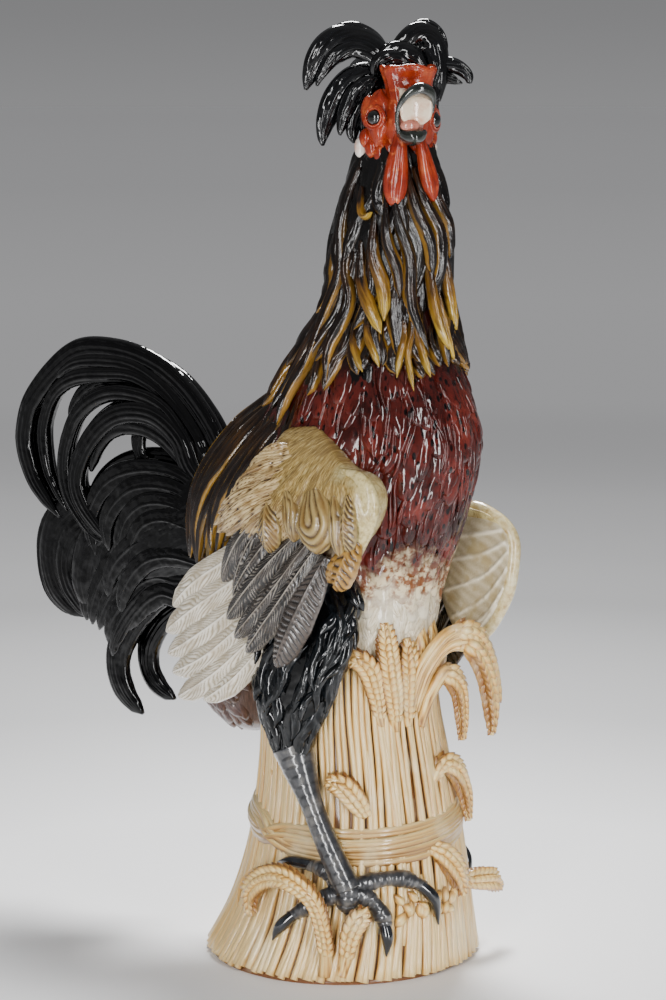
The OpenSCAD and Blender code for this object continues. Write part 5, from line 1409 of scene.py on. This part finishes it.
def make_wing(side, name, drop, inward=0, back=0, inner=58):
    def put(rows):
        return [(side * (abs(x) - inward), y + back, z - drop) for x, y, z in rows]
    rng = np.random.default_rng(101 + side)
    face = (side, 0, 0)
    rim = np.array(RIM, float)

    def look(y, z):
        near = np.min(np.hypot(y[..., None] - rim[:, 0], z[..., None] - rim[:, 1]), -1)
        cream = np.clip(1.15 - near / 9, 0, 1)
        brown = np.clip((392 - z) / 26, 0, 1) * np.clip((y + 112) / 20, 0, 1)
        return cream, brown, fan_flow(y, z)

    def relief(y, z):
        across, along, _ = np.moveaxis(fan_flow(y, z), -1, 0)
        ripple = np.cos(across / 3.4 + 1.8 * np.sin(along / 17)) * np.clip((along - 42) / 40, 0, 1)
        return 0.9 * ripple, 0.72 + 0.22 * ripple

    form = Form()
    plate(form, CAP_EDGE, (-46, 392), [(335, 92), (353, 94), (380, 94), (400, 90), (420, 82), (440, 70)],
          13, inner, side, drop, look, relief, offset=(inward, back))
    if side == RIGHT:
        edge = smooth([(*p, g) for p, g in zip(put([(92, y + 1, z) for y, z in RIM]),
                                               (0.3, 0.7, 1, 1.1, 1.1, 1, 0.9, 0.5))], 60)
        ribbon(form, edge, 14, 10, (side, -0.5, 0), rng, across=15, two_sided=True, under=1.0)
        form.place[-1] = form.place[-1] * (0, 0, 1) + (0.85, 0.15, 0)
    piece(f"wing_shoulder_{name}", form, cap_m, "wing_cap", f"wing_cap_{name}")

    # Narrow feathers that stream back from the shoulder
    form = Form()
    ends = curve_of(list(enumerate((-16, 4, 26, 48, 46, 37, 28, 17, 6))))
    lows = curve_of(list(enumerate((348, 348, 349, 351, 364, 377, 390, 404, 417))))
    for k in range(20):
        share = k / 19
        tip = np.array((float(ends(8 * share)), float(lows(8 * share)))) + rng.uniform(-2.5, 2.5, 2)
        root = np.array((-58 + 38 * share, 386 + 40 * share)) + rng.uniform(-3, 3, 2)
        root = tip + (root - tip) * rng.uniform(0.7, 1.0)
        mid = (root + tip) / 2 + (0, rng.uniform(-1, 5))
        reach = np.interp([root[1], mid[1], tip[1]], (350, 385, 440), (95, 98, 80))
        wing_feather(form, put([(reach[0] + 4, *root), (reach[1] + 7, *mid), (reach[2] + 1, *tip)]),
                     rng.uniform(8, 12), 8, face, rng, across=17, groove=flutes(2.6, 1.2, wander=0.25),
                     cup=1.5)
    piece(f"wing_streamers_{name}", form, stroke_m, "wing_cap", f"wing_cap_{name}")

    # Lobes under the shoulder, the largest ringed like a shell
    form = Form()
    for rows, w, t, grv in (
            ([(101, -12, 384), (109, -16, 364), (103, -14, 343)], 23, 11, chevrons(5.0, 1.0, rib=0.8)),
            ([(102, -30, 392), (108, -38, 374), (103, -38, 354)], 20, 9, flutes(4.0, 1.0)),
            ([(103, -56, 394), (112, -64, 372), (107, -66, 348)], 37, 13, shell_rings(6.6, 1.7)),
            ([(102, -78, 392), (109, -84, 370), (105, -86, 348)], 15, 10, flutes(4.4, 1.5)),
            ([(100, -90, 394), (107, -94, 372), (102, -92, 350)], 15, 10, chevrons(5.0, 1.0, rib=0.6))):
        wing_feather(form, put(rows), w, t, face, rng, girth=PETAL, groove=grv, cup=3.0, across=29)
    piece(f"wing_lobes_{name}", form, lobes_m, "wing_cap", f"wing_cap_{name}")

    form = Form()
    for rows, w in (([(93, -20, 386), (98, 18, 352), (92, 46, 312)], 24),
                    ([(94, -12, 374), (98, 10, 346), (94, 32, 308)], 16),
                    ([(96, -30, 374), (101, 4, 334), (95, 32, 302)], 19),
                    ([(97, -42, 362), (103, -6, 326), (98, 36, 284)], 22),
                    ([(98, -50, 354), (104, -18, 312), (99, 27, 270)], 22),
                    ([(98, -56, 348), (105, -26, 304), (100, 14, 260)], 22)):
        wing_feather(form, put(rows), w, 11, face, rng, cup=3.0, groove=vanes(4.6, 1.1, slant=1.9, rib=1.4),
                     across=51)
    piece(f"wing_coverts_feathers_{name}", form, covert_m, "wing_covert", f"wing_coverts_{name}")

    form = Form()
    wing_feather(form, put([(96, -66, 344), (108, -47, 298), (103, -19, 253)]), 31, 11, face, rng, cup=2.5,
                 across=31, girth=((0, 0.4), (0.3, 0.85), (0.55, 1), (0.8, 0.85), (0.94, 0.5), (1, 0.15)),
                 groove=chevrons(5.4, 2.2, slant=0.5, rib=2.2, rib_w=0.10, crest=0.7))
    piece(f"wing_barred_feather_{name}", form, quill_m, "wing_covert", f"wing_coverts_{name}")

    form = Form()
    for rows, w in (([(80, 12, 348), (88, 70, 313), (84, 108, 284)], 27),
                    ([(80, 5, 335), (90, 70, 291), (85, 115, 262)], 27),
                    ([(81, 0, 320), (91, 62, 272), (86, 112, 244)], 26),
                    ([(83, -4, 306), (92, 58, 253), (86, 107, 229)], 25),
                    ([(84, -8, 292), (93, 48, 240), (88, 99, 210)], 25),
                    ([(86, -10, 282), (94, 28, 238), (91, 68, 212)], 20)):
        wing_feather(form, put(rows), w, 10, face, rng, cup=2.5, groove=vanes(5.6, 1.2, slant=2.0, rib=1.2),
                     across=51)
    piece(f"wing_flights_feathers_{name}", form, flight_m, "wing_flight", f"wing_flights_{name}")

    if side == RIGHT:
        form = Form()
        wing_feather(form, put([(94, -94, 358), (101, -89, 340), (98, -78, 320)]), 22, 18, face, rng,
                     girth=PETAL, groove=chevrons(5.6, 1.8, slant=0.5, rib=0.0, crest=1.2), across=25)
        wing_feather(form, put([(94, -84, 352), (101, -78, 338), (98, -71, 325)]), 13, 13, face, rng,
                     girth=PETAL, groove=chevrons(5.2, 1.0, slant=0.5, rib=0.0, crest=0.5), across=17)
        piece("wing_alula_bundle", form, alula_m, "wing_alula", "wing_alula_right")
        return
    # The left wing stands off the body: quills run down and back over its inner face
    form = Form()
    outline = [(-44, 310), (-48, 338), (-56, 356), (-74, 365), (-93, 359), (-106, 351), (-113, 341),
               (-114, 324), (-110, 301), (-102, 284), (-92, 267), (-78, 257), (-66, 255), (-54, 266),
               (-44, 286)]
    quills = [((-108, 338), (-84, 326), (-48, 318)), ((-111, 330), (-86, 308), (-46, 292)),
              ((-110, 316), (-88, 290), (-54, 270)), ((-107, 300), (-90, 276), (-66, 260)),
              ((-100, 286), (-88, 270), (-76, 260)), ((-104, 348), (-82, 343), (-54, 338))]
    lines = [smooth([(*p, 0) for p in q], 40)[:, :2] for q in quills]

    def inner_relief(y, z):
        near = [np.min(np.hypot(y[..., None] - q[:, 0], z[..., None] - q[:, 1]), -1) for q in lines]
        rib = np.exp(-(np.min(near, 0) / 1.5) ** 2)
        fine = 0.5 + 0.5 * np.cos((y * 0.55 - z) / 1.5 + 1.2 * np.sin(y / 9))
        return 1.7 * rib + 0.35 * fine, np.clip(0.30 + 0.18 * fine + 0.8 * rib, 0, 1)

    def inner_look(y, z):
        return 0 * y, 0.5 + 0 * y, np.stack([y + z * 0.5, z - y * 0.5, 0 * y], -1)
    plate(form, outline, (-80, 310), [(240, -75), (300, -78), (370, -76)], 3.0, -88, -1, 0, inner_look,
          inner_relief, power=8.0)
    piece("wing_inner_left", form, inner_m, "wing_cap", "wing_cap_left", "wing_coverts_left")
    form = Form()
    edge = smooth([(76, -56, 357, 0.5), (79, -74, 363, 0.9), (81, -93, 357, 1), (82, -106, 348, 1),
                   (82, -112, 336, 1), (82, -111, 318, 1), (82, -107, 298, 1), (81, -99, 280, 0.9),
                   (80, -88, 264, 0.9), (79, -75, 255, 0.8), (78, -64, 257, 0.4)], 110)
    ribbon(form, edge, 14, 12, (0.6, -1, 0), rng, across=17, two_sided=True, under=1.0)
    piece("wing_edge_left", form, edge_m, "wing_cap", "wing_cap_left")


# Legs

THIGH = [(338, -50, -22, 14, 27), (298, -70, -28, 20, 43), (258, -80, -25, 19, 41), (222, -84, -19, 15, 31),
         (198, -83, -17, 10, 19), (178, -81, -18, 7, 11)]


def banded(path, radius, pitch, depth, front, sides=20):
    """Rings of a scaled leg: overlapping plates on the front, pebbles behind."""
    _, side, out = frames(path, (0, 0, 1))
    length = length_of(path)
    s = np.linspace(0, 1, len(path))[:, None]
    a = circle(sides)
    scale = (1 - (s * length / pitch) % 1.0) ** 0.6
    normal = side[:, None] * np.cos(a)[None, :, None] + out[:, None] * np.sin(a)[None, :, None]
    ahead = np.clip(0.5 + 0.8 * (normal @ unit(front)), 0.25, 1)
    r = radius[:, None] * (1 + depth * (scale - 0.5) * ahead * 2)
    return (path[:, None, :3] + normal * r[..., None], spread(a * 9, s * length, 0),
            spread(s, (np.cos(a) + 1) / 2, scale))


TOES = [
    [(-146, 0.305, 0.86, 1.2), (-134, 0.27, 0.62, 1), (-127, 0.21, 0.50, 1), (-126, 0.16, 0.45, 0.8)],
    [(-148, 0.29, 0.82, 1.1), (-133, 0.325, 0.60, 1), (-118, 0.325, 0.50, 1), (-106, 0.29, 0.45, 0.8)],
    [(-142, 0.30, 0.78, 1.15), (-155, 0.27, 0.60, 1), (-164, 0.23, 0.50, 0.9), (-170, 0.20, 0.45, 0.8)],
    [(-139, 0.275, 0.66, 1), (-148, 0.31, 0.70, 1.05), (-156, 0.355, 0.60, 0.9), (-165, 0.365, 0.45, 0.8)]]
CLAWS = [
    [(-127, 0.20, 0.60, 0.95), (-125, 0.15, 0.85, 1), (-124, 0.09, 0.50, 0.12)],
    [(-109, 0.30, 0.60, 0.95), (-102, 0.25, 0.85, 1), (-98, 0.16, 0.50, 0.12)],
    [(-168, 0.21, 0.60, 0.95), (-173, 0.17, 0.80, 1), (-176, 0.12, 0.50, 0.12)],
    [(-162, 0.365, 0.60, 0.95), (-174, 0.37, 0.70, 0.9), (-184, 0.355, 0.50, 0.12)]]


def make_legs():
    for side, name, back, ankle_angle in ((RIGHT, "right", 0, -144), (LEFT, "left", 70, 14)):
        rng = np.random.default_rng(121 + side)
        turn = (lambda a: a) if side == RIGHT else (lambda a: -130 - a)
        thigh = Levels([(z, -side * x, y + back, w, d) for z, x, y, w, d in THIGH])
        form = Form()
        level_skin(form, thigh, tone=0.3)
        for _ in range(150):
            angle = rng.uniform(0, 360)
            z = rng.uniform(206, 340)
            lock(form, angle, z, rng.uniform(30, 58), rng.uniform(8, 15), 9, rng, surface=thigh,
                 girth=((0, 0.4), (0.35, 1), (0.75, 0.8), (1, 0.06)), groove=flutes(3.4, 1.3, wander=0.2),
                 across=11, heading=rng.uniform(-20, 20), wave=rng.uniform(12, 34), waves=0.9,
                 phase=rng.random(), lift=(-2.5, 5.0), count=16, cup=2)
        piece(f"thigh_feathers_{name}", form, thigh_m, "thigh", f"thigh_{name}")

        hock = np.array((81.0 * side, -18.0 + back, 184.0))
        ankle = on_sheaf(ankle_angle, 0.305 * SHEAF_H, 13.0)
        s = np.linspace(0, 1, 7)
        pts = hock + (ankle - hock) * s[:, None] + np.array((side * 4.0, 0, 0)) * np.sin(np.pi * s)[:, None]
        girth = np.interp(s, (0, 0.17, 0.33, 0.5, 0.75, 1), (1.7, 1.35, 1.0, 0.92, 0.98, 1.15))
        path = smooth(np.hstack([pts, girth[:, None]]), 110)
        form = Form()
        out = unit(np.array((ankle[0], ankle[1], 0)))
        form.grid(*banded(path, 9.8 * path[:, 3], 8.0, 0.025, front=out), 0.5)
        piece(f"shank_scaled_{name}", form, leg_m, "leg", f"shank_{name}")

        form = Form()
        ball, o = sheaf_path([(turn(-144), 0.34, 0.86, 0.9), (turn(-144), 0.31, 0.80, 1.35),
                              (turn(-144), 0.28, 0.68, 1.5), (turn(-144), 0.25, 0.52, 1.2),
                              (turn(-143), 0.225, 0.42, 0.5)], 14, 40)
        form.grid(*banded(ball, 7.0 * ball[:, 3], 7.0, 0.05, front=o[20]), 0.5)
        for rows in TOES:
            path, o = sheaf_path([(turn(r[0]), *r[1:]) for r in rows], 14, 64)
            s = np.linspace(0, 1, 64)
            joints = 1 + 0.10 * np.cos(2 * np.pi * s * 2.6 + 0.5)
            form.grid(*banded(path, 6.6 * path[:, 3] * joints, 5.6, 0.08, front=o[32]), rng.random())
        piece(f"foot_scaled_{name}", form, leg_m, "leg", f"foot_{name}")

        form = Form()
        for rows in CLAWS:
            path, o = sheaf_path([(turn(r[0]), *r[1:]) for r in rows], 11, 30)
            tube(form, path, 5.0 * path[:, 3], rng, sides=14, facing=o.mean(0))
        piece(f"claws_glossy_{name}", form, claw_m, "claw", f"claws_{name}")


# Tail


BLUNT = ((0, 0.6), (0.15, 0.9), (0.6, 1), (0.85, 0.9), (0.95, 0.6), (1, 0.15))
SICKLE = (*BLUNT[:-1], (1, 0.12))
LEAF = ((0, 0.5), (0.2, 0.8), (0.6, 1), (0.85, 0.8), (0.95, 0.5), (1, 0.1))


def tail_blade(form, rows, w, t, rng, x=0.0, lean_x=0.0, count=90, groove=flutes(3.6, 1.0, wander=0.04),
               cup=0.0, girth=BLUNT):
    """A tail feather; rows are (y, z) places in its plane."""
    path = smooth([(x + lean_x * i / (len(rows) - 1), y, z, 1) for i, (y, z) in enumerate(rows)], count)
    path[:, 3] = girths(girth, count)
    ribbon(form, path, w, t, (1, 0, 0), rng, across=21, groove=groove, two_sided=True, under=1.0, cup=cup)


# Feathers of the tail as places (y, z), with the distance x of each from the middle and its width
SICKLE_OUTER = [
    ([(98, 372), (120, 386), (141, 420), (171, 450), (205, 469), (246, 478), (292, 476), (325, 457),
      (354, 428), (364, 403), (364, 384), (354, 358), (339, 341), (322, 326)], -2, 20),
    ([(104, 366), (134, 382), (158, 415), (189, 442), (223, 457), (259, 457), (295, 452), (320, 438),
      (334, 413), (336, 392), (331, 368), (322, 352), (309, 334)], -6, 13),
    ([(134, 384), (158, 418), (189, 447), (223, 464), (259, 468), (297, 464), (324, 449)], -4, 14),
    ([(150, 400), (200, 440), (256, 451), (284, 443), (300, 430), (310, 414)], -1, 14),
    ([(98, 374), (124, 396), (148, 428), (180, 456), (220, 471), (262, 475), (304, 468), (338, 444),
      (356, 414), (359, 386), (346, 352), (330, 334)], 8, 15)]
SICKLE_SECOND = [
    ([(108, 356), (144, 379), (161, 408), (188, 434), (223, 443), (258, 440), (288, 422), (303, 395),
      (307, 371), (302, 350), (289, 332), (273, 317), (260, 311)], -10, 14),
    ([(110, 350), (153, 382), (168, 408), (193, 425), (221, 428), (247, 421), (271, 402), (287, 377),
      (290, 358), (281, 340), (266, 325), (252, 313)], -12, 18),
    ([(130, 354), (150, 378), (166, 395), (184, 409), (204, 417), (226, 419), (248, 414), (263, 403),
      (272, 388), (276, 372)], -9, 21),
    ([(120, 378), (152, 402), (178, 426), (204, 440), (236, 447), (272, 438), (300, 416), (314, 392),
      (312, 362), (294, 336)], -2, 10)]
SICKLE_THIRD = [
    ([(110, 350), (140, 372), (167, 382), (198, 387), (233, 383), (262, 371), (280, 353), (287, 330),
      (280, 300)], 6, 20),
    ([(116, 346), (157, 372), (185, 377), (220, 372), (246, 360), (261, 342), (264, 318), (254, 296)], 12,
     20),
    ([(116, 346), (150, 364), (190, 372), (228, 364), (254, 348), (268, 322), (266, 292)], 2, 26)]
COVERTS = [
    ([(120, 346), (157, 374), (190, 380), (224, 376), (252, 364), (270, 344), (276, 322), (270, 298)], -14,
     20),
    ([(118, 342), (156, 362), (186, 367), (218, 362), (242, 346), (254, 326), (252, 304)], -17, 20),
    ([(118, 336), (154, 350), (180, 354), (206, 349), (226, 333), (234, 312), (230, 290)], -20, 19),
    ([(120, 330), (156, 338), (180, 340), (202, 332), (216, 314), (220, 294), (214, 274)], -22, 19),
    ([(190, 342), (240, 346), (293, 339), (320, 325), (333, 304), (335, 285), (330, 266), (317, 251),
      (298, 240)], 3, 30),
    ([(200, 348), (250, 350), (300, 346), (330, 330), (345, 308), (347, 283), (341, 262), (326, 247),
      (306, 240)], 6, 18),
    ([(190, 330), (240, 330), (282, 326), (306, 310), (317, 288), (314, 268), (303, 252), (290, 240)], 0,
     22),
    ([(180, 322), (214, 326), (240, 320), (266, 307), (280, 292), (285, 272), (289, 255), (289, 238)], -5,
     21),
    ([(150, 308), (182, 312), (214, 311), (243, 299), (263, 278), (275, 255), (279, 236)], -10, 20),
    ([(140, 302), (169, 301), (198, 302), (223, 292), (243, 273), (259, 252), (268, 233)], -14, 20),
    ([(136, 292), (165, 288), (189, 289), (212, 279), (231, 261), (248, 242), (255, 223)], -17, 20),
    ([(132, 282), (160, 275), (181, 276), (200, 267), (217, 253), (231, 238)], -20, 19),
    ([(130, 318), (170, 324), (206, 318), (232, 302), (248, 282), (250, 262)], -20, 20),
    ([(130, 306), (164, 310), (194, 304), (216, 288), (230, 268), (232, 250)], -23, 19)]
MASS = [
    [(190, 338), (248, 330), (276, 312), (288, 290), (290, 268), (286, 248)],
    [(140, 362), (190, 366), (230, 356), (260, 334), (274, 304), (272, 274)],
    [(140, 345), (190, 346), (226, 334), (252, 310), (262, 282), (258, 256)],
    [(140, 325), (184, 324), (216, 310), (240, 286), (250, 260), (246, 238)],
    [(135, 305), (176, 300), (206, 284), (228, 262), (238, 240), (236, 222)]]
DROOPING = [
    ([(150, 300), (183, 280), (208, 263), (231, 241), (244, 218), (245, 197), (235, 179), (217, 165)], -8,
     27),
    ([(150, 290), (183, 264), (206, 247), (222, 224), (222, 202), (210, 187), (193, 179)], 7, 22),
    ([(150, 305), (190, 284), (222, 256), (240, 232), (248, 212)], -13, 18)]


def make_tail():
    rng = np.random.default_rng(141)
    form = Form()
    core = [(0.85, 1.02, 0.85), (1.25, 0.94, 1.06), (1.65, 0.78, 1.06), (2.05, 0.58, 0.92),
            (2.38, 0.36, 0.64), (2.60, 0.20, 0.18)]
    path = smooth([(0, y * SHANK, SHEAF_H + z * SHANK, g) for y, z, g in core], 60)
    ribbon(form, path, 96, 50, (1, 0, 0), rng, across=41, two_sided=True, under=1.0,
           groove=flutes(5, 1.6, wander=0.05))
    piece("tail_root", form, tail_m, "tail_black", "tail_core")

    for name, node, blades, t in (("sickles_outer", "sickle_outer", SICKLE_OUTER, 13),
                                  ("sickles_second", "sickle_second", SICKLE_SECOND, 12),
                                  ("sickles_third", "sickle_third", SICKLE_THIRD, 12)):
        form = Form()
        for rows, x, w in blades:
            tail_blade(form, rows, w * 1.12, t, rng, x=x, girth=SICKLE,
                       groove=flutes(5.4, 0.9, wander=0.06), cup=1.5)
            if x < -4:
                away = [(y - 1.68 * x * min(1, i / 3), z) for i, (y, z) in enumerate(rows)]
                tail_blade(form, away, w * 1.12, t, rng, x=-x, girth=SICKLE,
                           groove=flutes(5.4, 0.9, wander=0.06), cup=1.5)
        piece(name, form, tail_m, "tail_black", node)

    # Coverts: nested curved feathers that fill the middle of the tail on both sides
    form = Form()
    for rows in MASS:
        tail_blade(form, rows, 40, 26, rng, count=50, groove=flutes(5, 1.2, wander=0.06))
    for rows, x, w in COVERTS:
        groove = flutes(6.0, 0.8, wander=0.12) if x > -10 else vanes(8.0, 0.8, slant=1.6, rib=1.0)
        for turn in (1, -1) if x < -4 else (1,):
            tail_blade(form, rows, w * 1.15, 12, rng, x=turn * x, lean_x=-turn * x * 0.35, count=56,
                       girth=LEAF, groove=groove, cup=2.5)
    piece("tail_covert_feathers", form, tail_m, "tail_black", "tail_coverts")

    form = Form()
    for rows, x, w in DROOPING:
        tail_blade(form, rows, w * 1.1, 15, rng, x=x, count=60, girth=LEAF,
                   groove=flutes(4.4, 1.2, wander=0.05), cup=1.5)
    piece("tail_drooping", form, tail_m, "tail_black", "drooping_feathers")
    form = Form()
    tail_blade(form, [(214, 386), (222, 389), (225, 398), (224, 408), (217, 418)], 17, 8, rng, x=-2,
               count=30, girth=LEAF)
    piece("tail_stub", form, tail_m, "tail_black", "sickle_third")


def dress_foot_rim():
    """Gives the CAD's own foot rim the glaze of the straw."""
    slots = bpy.data.objects["foot_rim"].data.materials
    slots.clear()
    slots.append(straw_m)


# Stage and light


def make_stage():
    n = 128
    rings = [0.15, 0.3, 0.6, 1.2, 2.5, 6.0, 20.0, 80.0, 400.0]
    turns = [2 * math.pi * k / n for k in range(n)]
    verts = [(0, 0, 0)] + [(r * math.cos(a), r * math.sin(a), 0) for r in rings for a in turns]
    faces = [(0, 1 + k, 1 + (k + 1) % n) for k in range(n)]
    for i in range(len(rings) - 1):
        a, b = 1 + i * n, 1 + (i + 1) * n
        faces += [(a + k, b + k, b + (k + 1) % n, a + (k + 1) % n) for k in range(n)]
    floor = bpy.data.meshes.new("floor")
    floor.from_pydata(verts, [], faces)
    m = bpy.data.materials.new("floor_paper")
    m.use_nodes = True
    t = m.node_tree
    s = t.nodes["Principled BSDF"]
    s.inputs["Roughness"].default_value = 0.6
    s.inputs["Specular IOR Level"].default_value = 0.2
    coord = t.nodes.new("ShaderNodeTexCoord")
    dist = t.nodes.new("ShaderNodeVectorMath")
    dist.operation = "LENGTH"
    t.links.new(coord.outputs["Object"], dist.inputs[0])
    log = t.nodes.new("ShaderNodeMath")
    log.operation = "LOGARITHM"
    log.inputs[1].default_value = 10.0
    t.links.new(dist.outputs["Value"], log.inputs[0])
    unit_range = t.nodes.new("ShaderNodeMapRange")
    unit_range.inputs["From Min"].default_value = -1.0
    unit_range.inputs["From Max"].default_value = 2.0
    t.links.new(log.outputs[0], unit_range.inputs["Value"])
    # Painted light and shade on the floor: its tone and glow change with the distance from the figure.
    for rows, socket in ((FLOOR_SHADED_TONES, "Base Color"), (FLOOR_PAINTED_GLOW, "Emission Color")):
        ramp = t.nodes.new("ShaderNodeValToRGB")
        t.links.new(unit_range.outputs["Result"], ramp.inputs[0])
        for e, (at, v) in zip(with_stops(ramp.color_ramp, len(rows)), rows):
            e.position, e.color = (math.log10(at) + 1) / 3, (v, v, v * 1.01, 1)
        t.links.new(ramp.outputs[0], s.inputs[socket])
    s.inputs["Emission Strength"].default_value = 1.0
    floor.materials.append(m)
    o = bpy.data.objects.new("floor", floor)
    bpy.context.scene.collection.objects.link(o)


def area_light(name, place, aim, size, power):
    data = bpy.data.lights.new(name, "AREA")
    data.shape = "RECTANGLE"
    data.size, data.size_y = size
    data.energy = power
    o = bpy.data.objects.new(name, data)
    bpy.context.scene.collection.objects.link(o)
    o.location = place
    o.rotation_euler = (Vector(aim) - Vector(place)).to_track_quat("-Z", "Y").to_euler()


# Floor tone and glow at distances from the figure, in metres: painted light and shade, the tone pale near
# the figure and darker from about 0.9 to 1.6 m, the glow lighting the floor from about 2 m out
FLOOR_SHADED_TONES = [(0.1, 0.94), (0.45, 0.72), (0.9, 0.42), (1.6, 0.36), (2.6, 0.64), (4.2, 0.80), (7.5, 0.84),
               (20.0, 0.80)]
FLOOR_PAINTED_GLOW = [(0.9, 0.0), (2.0, 0.03), (2.6, 0.10), (4.2, 0.15), (7.5, 0.15), (20.0, 0.11), (100.0, 0.09)]
# Sky tone at heights, from the level up
SKY = [(0.0, 0.27), (0.03, 0.225), (0.10, 0.17), (0.3, 0.15), (0.6, 0.20), (1.0, 0.30)]
# Name, place and aim in metres, width and height in metres, and power in watts
LIGHTS = [("key", (0.75, 0.6, 1.75), (0, 0, 0.25), (0.6, 0.6), 82),
          ("strip_left", (-2.30, -1.00, 0.95), (0, 0, 0.4), (0.28, 1.7), 32),
          ("strip_right", (-0.75, -2.15, 0.90), (0, 0, 0.4), (0.22, 1.6), 25),
          ("strip_low_left", (-0.736, -0.313, 0.20), (0, 0, 0.4), (0.08, 0.36), 2.0),
          ("strip_low_right", (-0.26, -0.756, 0.20), (0, 0, 0.4), (0.07, 0.36), 1.6)]


def make_light():
    world = bpy.data.worlds.new("studio")
    bpy.context.scene.world = world
    world.use_nodes = True
    t = world.node_tree
    coord = t.nodes.new("ShaderNodeTexCoord")
    part = t.nodes.new("ShaderNodeSeparateXYZ")
    t.links.new(coord.outputs["Generated"], part.inputs[0])
    ramp = t.nodes.new("ShaderNodeValToRGB")
    t.links.new(part.outputs[2], ramp.inputs[0])
    for e, (at, v) in zip(with_stops(ramp.color_ramp, len(SKY)), SKY):
        e.position, e.color = at, (v, v, v * 1.02, 1)
    t.links.new(ramp.outputs[0], t.nodes["Background"].inputs["Color"])
    for light in LIGHTS:
        area_light(*light)


make_stage()
make_light()
make_sheaf()
make_band()
make_ears()
make_torso()
make_neck()
make_saddle()
make_head()
make_wing(RIGHT, "right", drop=0)
make_wing(LEFT, "left", drop=48, inward=14, back=2, inner=91)
make_legs()
make_tail()
dress_foot_rim()
